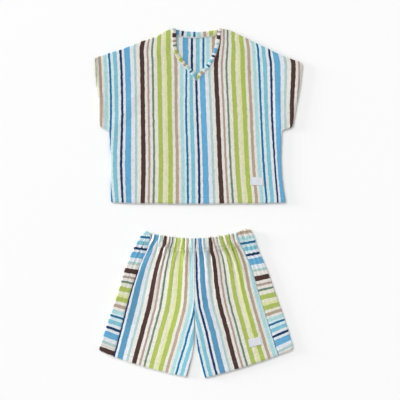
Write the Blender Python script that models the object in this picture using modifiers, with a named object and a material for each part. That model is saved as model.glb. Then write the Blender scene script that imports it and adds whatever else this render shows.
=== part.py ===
"""Towelling shorts set, laid flat.

A V-neck top with its short sleeves cut in one with the body lies above a pair of shorts with a
gathered waist and a strip down each side. Every piece that is cut and sewn is one solid: a wall of
towelling, with its hems and waist casing as thicker stretches. The backs lie on the surface, the
fronts lie on the backs, and pieces that are sewn together stay SEAM_GAP apart.

Lengths are in millimetres until a mesh is made. Left and right are as seen from above, with the
neck at the top. +X is right, +Y is towards the neck and +Z is up. The origin is the middle of the
layout, on the surface.
"""

import math

import bmesh
import bpy
import numpy as np

MM = 0.001
LAYOUT_MIDDLE = (0.0, -2.5, 0.0)    # of the outline's box, in the measures of the tables below

# Cloth
WALL = 2.4              # one layer of towelling with its loops
SEAM_GAP = 0.3          # between two pieces that are sewn together
LAYER_GAP = 0.35        # the least air between the front's cloth and the back's
FACE = 6.4              # height of the front's upper face, away from edges
EDGE_FACE = 7.0         # the same along a sewn edge, where the cloth stands a little fuller
EDGE_FALL = (12, 45)    # how far in from the edge that fullness runs out
EDGE_TURN = 2.6         # within this of a sewn edge, front and back turn in to the seam between them
EDGE_DROP = 1.55        # how far they have turned at the edge
HEM_WALL = 3.8          # a hem's two layers
HEM_FACE = 8.1
HEM_DEPTH = 20.0
HEM_SLOPE = (-1, 3)     # about a hem's depth, where its two layers run out to one
HEM_TURN = 2.0          # at the hem's fold the face drops and the wall thins, over this distance
HEM_DROP = 0.8
HEM_THINNING = 1.1
SLEEVE_HEM_DEPTH = 14.0
BAND_WALL = 4.2         # the waist casing
BAND_FACE = 9.7
BAND_DEPTH = 33.0
BAND_SLOPE = (-3, 6)    # about its depth, where the casing's layers run out to one
BAND_FALL = 14          # below its depth, where the front has come down off it
SEAM_DIP = 0.8          # how far both pieces turn down into a flat seam
SEAM_DIP_WIDTH = 3.0

# Neck binding, a strip folded over the panel's raw edge
BINDING_WALL = 1.4
BINDING_WIDTH = 11.0    # what shows of it on the front
BACK_BAND_WIDTH = 18.0  # what shows of it inside the back neck
NOSE_RADIUS = WALL / 2 + SEAM_GAP + BINDING_WALL
BINDING_RAISE = SEAM_GAP + BINDING_WALL
MITRE_GAP = 0.2         # from the middle of the V to each binding's end

LABEL_SIZE = (38.0, 24.0)
LABEL_WALL = 0.8

# The top's outline (x, y). Shoulders run from left to right, hems and sides from the bottom up.
SHOULDER_LEFT = [
    (-312, 435), (-268, 450), (-237, 459), (-177, 483), (-132, 498), (-95, 517), (-72, 523),
]
SHOULDER_RIGHT = [
    (60, 523), (84, 520), (120, 504), (171, 480), (207, 462), (246, 444), (282, 430), (312, 420),
]
SLEEVE_HEM_LEFT = [(-294, 231), (-302, 290), (-312, 435)]
SLEEVE_HEM_RIGHT = [(270, 228), (289, 310), (312, 420)]
SIDE_LEFT = [(-264, 0), (-265.5, 114), (-268.5, 213)]
SIDE_RIGHT = [(261, 0), (250, 70), (246, 140), (249, 216)]
HEM_SAG = 3.5
# The edge of the neck opening: up each side of the V, and along the back
OPENING_LEFT = [(-7, 384), (-30, 410), (-45, 427), (-59.5, 446), (-67, 470), (-69, 497), (-69.5, 523)]
OPENING_RIGHT = [(-7, 384), (13, 403), (26, 419), (37, 440), (45, 463), (51, 485), (57.5, 523)]
OPENING_BACK = [(-68.2, 520), (-39, 514.5), (-6, 513), (30, 515.5), (56.6, 520)]
BACK_BAND_ENDS = ((-0.03, -1.0), (-0.18, -0.98))    # its ends run down beside the front's bindings

# Soft creases, each a ridge or a trough that is deepest halfway: x1, y1, x2, y2, width, height
TOP_CREASES = [
    (-262, 214, -185, 335, 15, 1.2),
    (-258, 180, -165, 285, 16, -0.8),
    (243, 212, 226, 385, 11, 1.4),
    (236, 165, 206, 335, 15, -0.9),
    (262, 236, 286, 405, 12, 0.9),
    (-284, 246, -290, 410, 12, 0.7),
    (-7, 372, 2, 190, 20, -0.7),
    (-118, 30, -136, 430, 30, 0.7),
    (112, 15, 94, 420, 28, 0.8),
    (-200, -10, -188, 125, 24, -0.7),
    (-62, -10, -50, 160, 26, 0.8),
    (56, -10, 48, 120, 22, -0.7),
    (182, -10, 170, 150, 24, 0.9),
    (-88, 512, -152, 395, 18, 0.9),
    (76, 512, 142, 388, 18, 1.0),
]
SHORTS_CREASES = [
    (-120, -170, -165, -330, 15, 0.9),
    (-52, -160, -60, -330, 14, -0.7),
    (-200, -250, -232, -420, 16, 0.8),
    (-40, -300, -78, -500, 18, 0.8),
    (18, -160, 12, -330, 15, 0.8),
    (70, -165, 110, -350, 16, -0.7),
    (120, -170, 172, -400, 17, 0.9),
    (20, -310, 60, -500, 18, 0.8),
]

# The shorts, a row for each level from the hem up. The seam is where the side strip meets the
# front, the outer edge is that strip's fold, and the inner edge is the centre seam above the crotch
# and the inside leg below it. Sag is how far a level bows down from seam to inner edge, and rise
# is how far it bows up across the strip.
OUTER_X, OUTER_Y, SEAM_X, SEAM_Y, INNER_X, INNER_Y, SAG, RISE = range(8)
LEFT_LEG = {
    "hem": (-301, -442, -257, -462, -32, -523, 5, 0),
    "thigh": (-279, -372, -236, -384, -20, -420, 3, 0),
    "crotch": (-244, -269, -209, -279, -13.15, -306, 3, 0),
    "hip": (-221, -195, -184, -203, -13.15, -219, 3, 0),
    "band": (-181, -108, -151, -125, -13.15, -139, 3, 0),
    "waist": (-161, -82, -144, -92, -13.15, -106, 3, 0),
}
RIGHT_LEG = {
    "hem": (285, -440, 239, -457, 24, -528, 4, 0),
    "thigh": (264, -369, 214, -380, -3, -420, 3, 0),
    "crotch": (229, -269, 182, -279, -12.85, -306, 3, 0),
    "hip": (200, -188, 158, -197, -12.85, -219, 3, 0),
    "band": (171, -117, 128, -121, -12.85, -139, 3, 6),
    "waist": (158, -83, 113, -89, -12.85, -106, 3, 9),
}
CROTCH_Y = -306
CROTCH_TURN = 24        # how far below the crotch the inside leg's edges have fully turned in

# Gathers: waves across each piece, which drift so that no two are alike
FRONT_GATHERS = 9
SIDE_GATHERS = 3
GATHER_HEIGHT = 0.9
GATHER_WIDTH = 13.0     # where they crowd closer than this, as on the side strips, they are lower
GATHER_FADE = 26.0      # how far below the casing the small gathers run out
FOLD_HEIGHT = 1.2       # the longer folds that every other gather lets go
FOLD_FADE = 75.0

TOP_LABEL = (173.0, 65.0, -3.0)         # middle x, y and turn in degrees
SHORTS_LABEL = (167.5, -416.5, 15.0)

# Longest steps between rows or columns
FRONT_STEP = 33
BACK_ROW_STEP = 64
BACK_COLUMN_STEP = 48
LEG_STEP = 50
FRONT_COLUMNS_PER_GATHER = 3
BACK_LEG_COLUMNS = 5
STRIP_COLUMNS = 7

COLOURS = {
    "front": (0.72, 0.77, 0.66),
    "back": (0.55, 0.70, 0.80),
    "side": (0.42, 0.60, 0.70),
    "binding": (0.80, 0.78, 0.72),
    "label": (0.88, 0.88, 0.87),
}


def clear_scene():
    for old in list(bpy.data.objects):
        bpy.data.objects.remove(old, do_unlink=True)


def blend(low, high, value):
    """0 below low, 1 above high and smooth between."""
    t = np.clip((np.asarray(value, float) - low) / (high - low), 0, 1)
    return t * t * (3 - 2 * t)


def through(knots, values, at):
    """A smooth curve through a value at each knot, which never swings past its values."""
    knots = np.asarray(knots, float)
    values = np.asarray(values, float)
    step = np.diff(knots)[:, None]
    rate = np.diff(values, axis=0) / step
    slope = np.vstack([rate[:1], rate[1:], rate[-1:]])
    before, after = rate[:-1], rate[1:]
    same_way = before * after > 0
    total = np.where(same_way, before + after, 1)
    slope[1:-1] = np.where(same_way, 2 * before * after / total, 0)
    slope[-1] = rate[-1]
    k = np.clip(np.searchsorted(knots, at, side="right") - 1, 0, len(knots) - 2)
    t = ((at - knots[k])[:, None]) / step[k]
    start = (1 + 2 * t) * (1 - t) ** 2 * values[k] + t * (1 - t) ** 2 * step[k] * slope[k]
    end = t * t * (3 - 2 * t) * values[k + 1] - t * t * (1 - t) * step[k] * slope[k + 1]
    return start + end


def curve(points, count=40):
    """Count places evenly along a smooth curve through a few points."""
    points = np.asarray(points, float)
    chord = np.r_[0, np.cumsum(np.hypot(*np.diff(points, axis=0).T))]
    return through(chord, points, np.linspace(0, chord[-1], count))


def distance(x, y, *lines):
    """From each (x, y) to the nearest place on any of the lines."""
    nearest = np.full(np.shape(x), 1e9)
    for line in lines:
        for (ax, ay), (bx, by) in zip(line[:-1], line[1:]):
            run_x, run_y = bx - ax, by - ay
            t = np.clip(((x - ax) * run_x + (y - ay) * run_y) / (run_x**2 + run_y**2), 0, 1)
            nearest = np.minimum(nearest, np.hypot(x - ax - t * run_x, y - ay - t * run_y))
    return nearest


def edge_turn(inset):
    """How far the cloth has turned in to a seam, 1 at the edge and 0 inside it."""
    return (1 - np.clip(inset / EDGE_TURN, 0, 1)) ** 2


# How far in from an edge a piece's rows and columns lie
TURN_INSETS = EDGE_TURN * np.array([0, 0.36, 1])
RAISE_INSETS = (BINDING_WIDTH + 13, BINDING_WIDTH + 1)      # where the back is lifted off the surface
NECK_INSETS = np.r_[RAISE_INSETS, TURN_INSETS[::-1]]
NECK_COLUMNS = np.array([4.0, 12.0, 24.0])                  # outside the back neck's corners
SLEEVE_SHARES = np.array([1.0, 0.94, 0.4])                  # of the way from side to sleeve hem
STRIP_TURN = np.radians([60, 30, 0, -30, -60])              # round a side strip's fold
BINDING_TURN = np.radians([45, 0, -45])                     # round a binding's fold
V_STATIONS = 7                                              # up each side of the V
UNDERARM_Y = SIDE_LEFT[-1][1]


def creases(x, y, table):
    height = np.zeros(np.shape(x))
    for x1, y1, x2, y2, width, rise in table:
        length = math.hypot(x2 - x1, y2 - y1)
        run_x, run_y = (x2 - x1) / length, (y2 - y1) / length
        along = ((x - x1) * run_x + (y - y1) * run_y) / length
        across = (y - y1) * run_x - (x - x1) * run_y
        taper = blend(-0.15, 0.35, along) * (1 - blend(0.65, 1.15, along))
        height += rise * taper * np.exp(-((across / width) ** 2))
    return height


def turned_share(reach, depth):
    """1 in a hem of this depth, reach being the distance from its fold, and 0 outside it."""
    return 1 - blend(depth + HEM_SLOPE[0], depth + HEM_SLOPE[1], reach)


def steps(start, end, longest):
    """Places from start to end, start left out, in even steps no longer than the longest."""
    count = max(1, math.ceil(abs(end - start) / longest))
    return start + (end - start) * np.arange(1, count + 1) / count


def inward_vectors(line, first=None, last=None):
    """To the right of a line's run at each point, as long as makes a strip of even width.

    First and last turn the line's ends to a direction of their own, such as a mitre's.
    """
    run = np.gradient(line, axis=0)
    run /= np.hypot(run[:, 0], run[:, 1])[:, None]
    inward = np.column_stack([run[:, 1], -run[:, 0]])
    for end, direction in ((0, first), (-1, last)):
        if direction is not None:
            inward[end] = np.array(direction) / np.dot(inward[end], direction)
    return inward


def cloth_material(name, colour):
    material = bpy.data.materials.new(name + "_cloth")
    material.use_nodes = True
    shader = material.node_tree.nodes["Principled BSDF"]
    shader.inputs["Base Color"].default_value = (*colour, 1.0)
    shader.inputs["Roughness"].default_value = 0.95
    shader.inputs["Metallic"].default_value = 0.0
    return material


def cloth_piece(name, collection, points, walls, colour, facing_up=True, keep=None):
    """A piece of cloth: a grid of points in rows, thickened inwards from the face that they give.

    Walls is the cloth's thickness at each point. Facing_up says where the first column of cells
    faces. Keep marks the cells that are cloth, where the piece isn't a full grid.
    """
    rows, columns = points.shape[0] - 1, points.shape[1] - 1
    bm = bmesh.new()
    layer = bm.verts.layers.deform.verify()
    bmesh.ops.create_grid(bm, x_segments=columns, y_segments=rows, size=1.0)
    place = {}
    for vert in bm.verts:
        place[vert] = (round((vert.co.y + 1) / 2 * rows), round((vert.co.x + 1) / 2 * columns))
    cell = {}
    for face in bm.faces:
        cell[face] = tuple(min(place[vert][axis] for vert in face.verts) for axis in (0, 1))
    thickest = float(walls.max())
    for vert, (j, i) in place.items():
        vert.co = (points[j, i] - LAYOUT_MIDDLE) * MM
        vert[layer][0] = float(walls[j, i]) / thickest
    if keep is not None:
        dropped = [face for face in bm.faces if not keep[cell[face]]]
        bmesh.ops.delete(bm, geom=dropped, context="FACES")
    bm.normal_update()
    first = min(bm.faces, key=lambda face: cell[face])
    if (first.normal.z > 0) != facing_up:
        bmesh.ops.reverse_faces(bm, faces=bm.faces)
    bmesh.ops.remove_doubles(bm, verts=bm.verts, dist=1e-6)
    mesh = bpy.data.meshes.new(name)
    bm.to_mesh(mesh)
    bm.free()
    mesh.materials.append(cloth_material(name, colour))
    mesh.shade_smooth()
    piece = bpy.data.objects.new(name, mesh)
    collection.objects.link(piece)
    piece.vertex_groups.new(name="wall")
    solidify = piece.modifiers.new("wall", "SOLIDIFY")
    solidify.thickness = thickest * MM
    solidify.offset = -1.0
    solidify.vertex_group = "wall"
    solidify.use_quality_normals = True
    return piece


def v_stations(points):
    """Places up one side of the neck opening: even steps from the V's point, then close ones."""
    line = curve(points, 200)
    heights = line[-1, 1] - NECK_INSETS
    stop = np.interp(heights[0], line[:, 1], np.arange(200))
    at = np.r_[np.linspace(0, stop, V_STATIONS + 1), np.interp(heights[1:], line[:, 1], np.arange(200))]
    return np.column_stack([np.interp(at, np.arange(200), line[:, axis]) for axis in (0, 1)])


class Top:
    """The top's edges, and the heights of its two layers over the surface."""

    def __init__(self):
        self.shoulders = [curve(SHOULDER_LEFT), curve(SHOULDER_RIGHT)]
        self.sleeve_hems = [curve(SLEEVE_HEM_LEFT), curve(SLEEVE_HEM_RIGHT)]
        self.sides = [curve(SIDE_LEFT), curve(SIDE_RIGHT)]
        self.under_sleeves = [
            np.array([self.sleeve_hems[0][0], self.sides[0][-1]]),
            np.array([self.sides[1][-1], self.sleeve_hems[1][0]]),
        ]
        share = np.linspace(0, 1, 20)
        self.hem = np.column_stack([
            SIDE_LEFT[0][0] + share * (SIDE_RIGHT[0][0] - SIDE_LEFT[0][0]),
            -HEM_SAG * 4 * share * (1 - share),
        ])
        self.openings = [v_stations(OPENING_LEFT), v_stations(OPENING_RIGHT)]
        self.inward = [
            -inward_vectors(self.openings[0], first=(0, 1)),
            inward_vectors(self.openings[1], first=(0, -1)),
        ]
        self.back_opening = curve(OPENING_BACK, 10)
        self.back_inward = inward_vectors(self.back_opening, *BACK_BAND_ENDS)
        # The panels' own neck edges lie inside the bindings' folds
        self.v_edges = [line + NOSE_RADIUS * inward for line, inward in zip(self.openings, self.inward)]
        self.back_edge = self.back_opening + NOSE_RADIUS * self.back_inward
        self.neck_points = [np.array(SHOULDER_LEFT[-1:]), np.array(SHOULDER_RIGHT[:1])]

    def seam_inset(self, x, y):
        return distance(x, y, *self.sides, *self.under_sleeves, *self.shoulders)

    def seam_turn(self, x, y):
        """The sewn edges turn in, apart from the shoulders' ends under the neck binding."""
        from_neck = np.full(np.shape(x), 1e9)
        for point in self.neck_points:
            from_neck = np.minimum(from_neck, np.hypot(x - point[0, 0], y - point[0, 1]))
        return edge_turn(self.seam_inset(x, y)) * blend(26, 52, from_neck)

    def hem_share(self, x, y):
        """1 in a turned hem and 0 outside it."""
        body = turned_share(distance(x, y, self.hem), HEM_DEPTH)
        sleeves = turned_share(distance(x, y, *self.sleeve_hems), SLEEVE_HEM_DEPTH)
        return np.maximum(body, sleeves)

    def hem_turn(self, x, y):
        """1 at a hem's fold and 0 just inside it."""
        return 1 - blend(0, HEM_TURN, distance(x, y, self.hem, *self.sleeve_hems))

    def wall(self, x, y):
        clear_of_edge = blend(EDGE_TURN, 3 * EDGE_TURN, self.seam_inset(x, y))
        wall = WALL + (HEM_WALL - WALL) * self.hem_share(x, y) * clear_of_edge
        return wall - HEM_THINNING * self.hem_turn(x, y)

    def back_raise(self, x, y):
        """The back panel is lifted by the leaf of binding folded under its neck edge."""
        reach = distance(x, y, self.back_opening)
        return BINDING_RAISE * (1 - blend(RAISE_INSETS[1], RAISE_INSETS[0], reach))

    def back_under(self, x, y):
        return self.back_raise(x, y) + EDGE_DROP * self.seam_turn(x, y)

    def front_face(self, x, y):
        edge = np.minimum(self.seam_inset(x, y), distance(x, y, *self.v_edges))
        z = EDGE_FACE + (FACE - EDGE_FACE) * blend(*EDGE_FALL, edge)
        z = z + (HEM_FACE - z) * self.hem_share(x, y)
        z = z + creases(x, y, TOP_CREASES) * blend(2, 20, edge)
        z = z + BINDING_RAISE * (1 - blend(RAISE_INSETS[-1] + 2, 48, distance(x, y, self.back_opening)))
        wall = self.wall(x, y)
        z = np.maximum(z, self.back_raise(x, y) + wall + LAYER_GAP + wall)
        turned = self.seam_turn(x, y)
        return z - (z - EDGE_FACE + EDGE_DROP) * turned - HEM_DROP * self.hem_turn(x, y) * (1 - turned)

    def lower_rows(self, x_across, heights):
        """Rows of the body from its hem to the underarms. X_across gives a row's x from its ends."""
        rows = []
        for height in heights:
            share = height / UNDERARM_Y
            ends = [np.interp(share * side[-1, 1], side[:, 1], side[:, 0]) for side in self.sides]
            x = x_across(*ends)
            hem_y = np.interp(x, self.hem[:, 0], self.hem[:, 1])
            rows.append((x, hem_y + share * (self.underarm_y(x) - hem_y)))
        return rows

    def underarm_y(self, x):
        ends = [side[-1] for side in self.sides]
        return np.interp(x, [end[0] for end in ends], [end[1] for end in ends])

    def shoulder_y(self, x):
        shoulder = np.vstack(self.shoulders)
        return np.interp(x, shoulder[:, 0], shoulder[:, 1])

    def with_sleeves(self, x, y):
        """A row of the body, run on across both sleeves."""
        parts = []
        for side, end in ((0, 0), (1, -1)):
            low_side, low_hem = self.sides[side][-1], self.sleeve_hems[side][0]
            top_side = self.shoulder_y(low_side[0])
            rise = (y[end] - low_side[1]) / (top_side - low_side[1])
            low = low_side[1] + SLEEVE_SHARES * (low_hem[1] - low_side[1])
            top = self.shoulder_y(low_side[0] + SLEEVE_SHARES * (self.sleeve_hems[side][-1][0] - low_side[0]))
            sleeve_y = low + rise * (top - low)
            hem = self.sleeve_hems[side]
            sleeve_x = low_side[0] + SLEEVE_SHARES * (np.interp(sleeve_y, hem[:, 1], hem[:, 0]) - low_side[0])
            parts.append((sleeve_x, sleeve_y))
        (left_x, left_y), (right_x, right_y) = parts
        return np.r_[left_x, x, right_x[::-1]], np.r_[left_y, y, right_y[::-1]]

    def plan(self, lower, upper, parted_from=None):
        """Rows joined into a grid, and the cells of it that are cloth.

        Below the underarms a row is body only. From the row parted_from up, the two middle columns
        part to run up the edges of the V.
        """
        pad = len(SLEEVE_SHARES)
        rows = [(np.pad(x, pad, mode="edge"), np.pad(y, pad, mode="edge")) for x, y in lower]
        rows += [self.with_sleeves(x, y) for x, y in upper]
        xs, ys = (np.array(part) for part in zip(*rows))
        keep = np.ones((len(rows) - 1, xs.shape[1] - 1), bool)
        keep[: len(lower), :pad] = False
        keep[: len(lower), -pad:] = False
        if parted_from is not None:
            keep[len(lower) + parted_from:, xs.shape[1] // 2 - 1] = False
        return xs, ys, keep

    def front_plan(self):
        v_x, v_y = self.v_edges[0][0]
        side_x = [side[-1][0] for side in self.sides]
        shares = []
        for x in side_x:
            width = abs(v_x - x)
            shares.append(np.r_[TURN_INSETS, steps(TURN_INSETS[-1], width, FRONT_STEP)] / width)

        def across(left_x, right_x, left_inner=v_x, right_inner=v_x):
            left = left_x + shares[0] * (left_inner - left_x)
            right = right_x + shares[1] * (right_inner - right_x)
            return np.r_[left, right[::-1]]

        lower = self.lower_rows(across, body_heights(FRONT_STEP))
        upper = []
        x = across(*side_x)
        low_y = self.underarm_y(x)
        middle = np.r_[TURN_INSETS, steps(TURN_INSETS[-1], v_y - UNDERARM_Y, FRONT_STEP)] / (v_y - UNDERARM_Y)
        for rise in middle:
            upper.append((x, low_y + rise * (v_y - low_y)))
        parted_from = len(upper) - 1
        top_x = across(*side_x, self.v_edges[0][-1][0], self.v_edges[1][-1][0])
        top_y = self.shoulder_y(top_x)
        half = len(shares[0])
        for station in range(1, V_STATIONS + len(NECK_INSETS)):
            ends = [edge[station] for edge in self.v_edges]
            x = across(*side_x, ends[0][0], ends[1][0])
            if station < V_STATIONS:
                rise = (ends[0][1] - v_y) / (self.v_edges[0][V_STATIONS][1] - v_y)
                y = v_y + rise * (top_y - NECK_INSETS[0] - v_y)
            else:
                y = top_y - NECK_INSETS[station - V_STATIONS]
            y[half - 1], y[half] = ends[0][1], ends[1][1]
            upper.append((x, y))
        return self.plan(lower, upper, parted_from)

    def back_plan(self):
        neck_x = self.back_edge[:, 0]
        side_x = [side[-1][0] for side in self.sides]
        outside = NECK_COLUMNS[::-1]
        body = np.r_[
            side_x[0] + TURN_INSETS,
            steps(side_x[0] + TURN_INSETS[-1], neck_x[0] - outside[0], BACK_COLUMN_STEP)[:-1],
            neck_x[0] - outside,
            neck_x,
            neck_x[-1] + outside[::-1],
            steps(side_x[1] - TURN_INSETS[-1], neck_x[-1] + outside[0], BACK_COLUMN_STEP)[-2::-1],
            (side_x[1] - TURN_INSETS)[::-1],
        ]
        shares = (body - side_x[0]) / (side_x[1] - side_x[0])
        heights = body_heights(BACK_ROW_STEP)
        lower = self.lower_rows(lambda left, right: left + shares * (right - left), heights)
        low_y = self.underarm_y(body)
        on_neck = (body >= neck_x[0]) & (body <= neck_x[-1])
        top_y = np.where(on_neck, np.interp(body, neck_x, self.back_edge[:, 1]), self.shoulder_y(body))
        span = top_y - low_y - NECK_INSETS[0] - TURN_INSETS[-1]
        upper = [(body, low_y + inset) for inset in TURN_INSETS[:-1]]
        upper += [(body, low_y + TURN_INSETS[-1] + rise * span) for rise in np.linspace(0, 1, 5)[:-1]]
        upper += [(body, top_y - inset) for inset in NECK_INSETS]
        return self.plan(lower, upper)


def body_heights(longest):
    """Heights of the body's rows from its hem to just below the underarms."""
    low = [0, 0.4 * HEM_TURN, HEM_DEPTH, HEM_DEPTH + HEM_SLOPE[1]]
    return np.r_[low, steps(low[-1], UNDERARM_Y, longest)[:-1]]


class Shorts:
    """The shorts' seams and edges, and the heights of their layers over the surface."""

    def __init__(self):
        self.legs = [np.array(list(leg.values()), float) for leg in (LEFT_LEG, RIGHT_LEG)]
        self.heights = []
        for leg in self.legs:
            seam = leg[:, [SEAM_X, SEAM_Y]]
            self.heights.append(np.r_[0, np.cumsum(np.hypot(*np.diff(seam, axis=0).T))])
        self.seams, self.outer, self.inner, self.centre, self.hems, self.waists = [], [], [], [], [], []
        share = np.linspace(0, 1, 14)
        for leg in (0, 1):
            # The pieces' own rows are among the lines' points, so that a row's end is on the line
            up = np.union1d(np.linspace(0, self.heights[leg][-1], 40), self.rows(leg))
            level = self.level(leg, up)
            self.outer.append(level[:, [OUTER_X, OUTER_Y]])
            self.seams.append(level[:, [SEAM_X, SEAM_Y]])
            inner = level[:, [INNER_X, INNER_Y]]
            below = inner[:, 1] < CROTCH_Y
            self.inner.append(inner[below])
            self.centre.append(inner[~below])
            for lines, at in ((self.hems, up[:1]), (self.waists, up[-1:])):
                strip = self.across_strip(leg, at, share[None, :])
                panel = self.across_panel(leg, at, share[None, :])
                lines.append(np.vstack([np.dstack(strip)[0], np.dstack(panel)[0, 1:]]))

    def level(self, leg, up):
        """The leg's table read at heights up its seam."""
        return through(self.heights[leg], self.legs[leg], up)

    def across_panel(self, leg, up, share):
        """Places across a front or back at each height, from the side seam to the inner edge."""
        row = self.level(leg, up)[:, :, None]
        x = row[:, SEAM_X] + share * (row[:, INNER_X] - row[:, SEAM_X])
        y = row[:, SEAM_Y] + share * (row[:, INNER_Y] - row[:, SEAM_Y])
        y -= row[:, SAG] * 4 * share * (1 - share)
        return x, y

    def across_strip(self, leg, up, share):
        """Places across the side strip at each height, from its fold to the side seam."""
        row = self.level(leg, up)[:, :, None]
        x = row[:, OUTER_X] + share * (row[:, SEAM_X] - row[:, OUTER_X])
        y = row[:, OUTER_Y] + share * (row[:, SEAM_Y] - row[:, OUTER_Y])
        y += row[:, RISE] * 4 * share * (1 - share)
        return x, y

    def rows(self, leg):
        """Heights up the seam for a piece's rows: close at the hem and about the casing.

        All pieces of a leg share them, so that their sewn edges follow each other.
        """
        top = self.heights[leg][-1]
        casing = top - BAND_DEPTH
        low = [0, HEM_TURN, HEM_DEPTH, HEM_DEPTH + HEM_SLOPE[1]]
        high = [casing - 40, casing - 16, casing - 4, casing + 6, top - 8, top]
        return np.r_[low, steps(low[-1], high[0], LEG_STEP)[:-1], high]

    def casing_share(self, x, y):
        return 1 - blend(BAND_DEPTH + BAND_SLOPE[0], BAND_DEPTH + BAND_SLOPE[1], distance(x, y, *self.waists))

    def hem_turn(self, x, y):
        """1 at a hem's fold and 0 just inside it."""
        return 1 - blend(0, HEM_TURN, distance(x, y, *self.hems))

    def wall(self, x, y):
        hem = turned_share(distance(x, y, *self.hems), HEM_DEPTH)
        clear_of_edge = blend(EDGE_TURN, 3 * EDGE_TURN, distance(x, y, *self.inner, *self.outer))
        thicker = (HEM_WALL - WALL) * hem + (BAND_WALL - WALL) * self.casing_share(x, y)
        return WALL + thicker * clear_of_edge - HEM_THINNING * self.hem_turn(x, y)

    def inside_leg_turn(self, x, y):
        """Below the crotch the inside leg's edges turn in."""
        return edge_turn(distance(x, y, *self.inner)) * blend(0, CROTCH_TURN, CROTCH_Y - y)

    def front_face(self, x, y, gathers=0.0):
        """Gathers is the height that the gathers add."""
        edge = distance(x, y, *self.inner, *self.outer)
        hem = turned_share(distance(x, y, *self.hems), HEM_DEPTH)
        z = EDGE_FACE + (FACE - EDGE_FACE) * blend(*EDGE_FALL, edge)
        z = z + (HEM_FACE - z) * hem
        casing = 1 - blend(BAND_DEPTH, BAND_DEPTH + BAND_FALL, distance(x, y, *self.waists))
        z = z + (BAND_FACE - z) * casing
        z = z + creases(x, y, SHORTS_CREASES) * blend(2, 20, edge) + gathers
        seam = distance(x, y, *self.seams, *self.centre)
        z = z - SEAM_DIP * np.exp(-((seam / SEAM_DIP_WIDTH) ** 2))
        wall = self.wall(x, y)
        z = np.maximum(z, wall + LAYER_GAP + wall)
        turned = self.inside_leg_turn(x, y)
        return z - (z - EDGE_FACE + EDGE_DROP) * turned - HEM_DROP * self.hem_turn(x, y) * (1 - turned)


def gather_height(share, below, count, shift):
    """The gathers' height at a share of the way across, below the casing's lower edge."""
    wide_drift = 0.22 * np.sin(2 * math.pi * (1.7 * share + shift))
    close_drift = 0.12 * np.sin(2 * math.pi * (3.9 * share + 2 * shift))
    phase = 2 * math.pi * (count * share + wide_drift + close_drift + shift)
    in_casing = 1 - blend(-6, 0, below)
    held = 1 - 0.75 * np.exp(-((below / 4) ** 2))
    fade = in_casing + (1 - in_casing) * 1.3 * np.exp(-np.clip(below, 0, None) / GATHER_FADE)
    small = GATHER_HEIGHT * np.cos(phase) * fade * held
    let_go = blend(2, 22, below) * np.exp(-np.clip(below, 0, None) / FOLD_FADE)
    return small + FOLD_HEIGHT * np.cos(phase / 2 + 1.1) * let_go


def solid_grid(x, y, z):
    return np.dstack([x, y, z])


def make_top(collection):
    top = Top()
    x, y, keep = top.front_plan()
    cloth_piece("top_front", collection, solid_grid(x, y, top.front_face(x, y)), top.wall(x, y),
                COLOURS["front"], keep=keep)
    x, y, keep = top.back_plan()
    cloth_piece("top_back", collection, solid_grid(x, y, top.back_under(x, y)), top.wall(x, y),
                COLOURS["back"], facing_up=False, keep=keep)
    make_front_bindings(collection, top)
    make_back_binding(collection, top)
    make_label("top_label", collection, TOP_LABEL, top.front_face)


def binding_piece(name, collection, line, inward, width, heights):
    """A strip folded over a panel's edge. Heights gives the panel's upper face and underside."""
    over = np.r_[width, (width + NOSE_RADIUS) / 2, NOSE_RADIUS]
    under = np.r_[NOSE_RADIUS, BINDING_WIDTH]
    columns = []
    for inset in over:
        x, y = (line + inset * inward).T
        columns.append(np.column_stack([x, y, heights(x, y)[0] + BINDING_RAISE]))
    edge_x, edge_y = (line + NOSE_RADIUS * inward).T
    above, beneath = heights(edge_x, edge_y)
    for angle in BINDING_TURN:
        x, y = (line + NOSE_RADIUS * (1 - math.cos(angle)) * inward).T
        columns.append(np.column_stack([x, y, (above + beneath) / 2 + NOSE_RADIUS * math.sin(angle)]))
    for inset in under:
        x, y = (line + inset * inward).T
        columns.append(np.column_stack([x, y, heights(x, y)[1] - BINDING_RAISE]))
    points = np.stack(columns, axis=1)
    walls = np.full(points.shape[:2], BINDING_WALL)
    return cloth_piece(name, collection, points, walls, COLOURS["binding"])


def make_front_bindings(collection, top):
    def heights(x, y):
        face = top.front_face(x, y)
        return face, face - WALL

    for side, name in ((0, "neck_binding_front_left"), (1, "neck_binding_front_right")):
        line = top.openings[side].copy()
        line[0, 0] += MITRE_GAP * (-1, 1)[side]
        binding_piece(name, collection, line, top.inward[side], BINDING_WIDTH, heights)


def make_back_binding(collection, top):
    def heights(x, y):
        under = top.back_raise(x, y)
        return under + WALL, under

    binding_piece("neck_binding_back", collection, top.back_opening, top.back_inward,
                  BACK_BAND_WIDTH, heights)


def make_label(name, collection, place, face):
    """A woven label lying on a front, its points taken from the cloth beneath."""
    middle_x, middle_y, degrees = place
    across, up = np.meshgrid(np.linspace(-0.5, 0.5, 6), np.linspace(-0.5, 0.5, 5))
    across, up = across * LABEL_SIZE[0], up * LABEL_SIZE[1]
    turn = math.radians(degrees)
    x = middle_x + across * math.cos(turn) - up * math.sin(turn)
    y = middle_y + across * math.sin(turn) + up * math.cos(turn)
    z = face(x, y) + SEAM_GAP + LABEL_WALL
    cloth_piece(name, collection, solid_grid(x, y, z), np.full(x.shape, LABEL_WALL), COLOURS["label"])


def panel_shares(width, columns):
    """Where a panel's columns lie across each row, from the side seam to the inner edge."""
    seam_side = [SEAM_GAP / 2, SEAM_DIP_WIDTH]
    inner_side = TURN_INSETS[::-1]
    rows = []
    for row_width in width:
        middle = np.linspace(seam_side[-1], row_width - inner_side[0], columns + 1)[1:-1]
        rows.append(np.r_[seam_side, middle, row_width - inner_side] / row_width)
    return np.array(rows)


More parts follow.
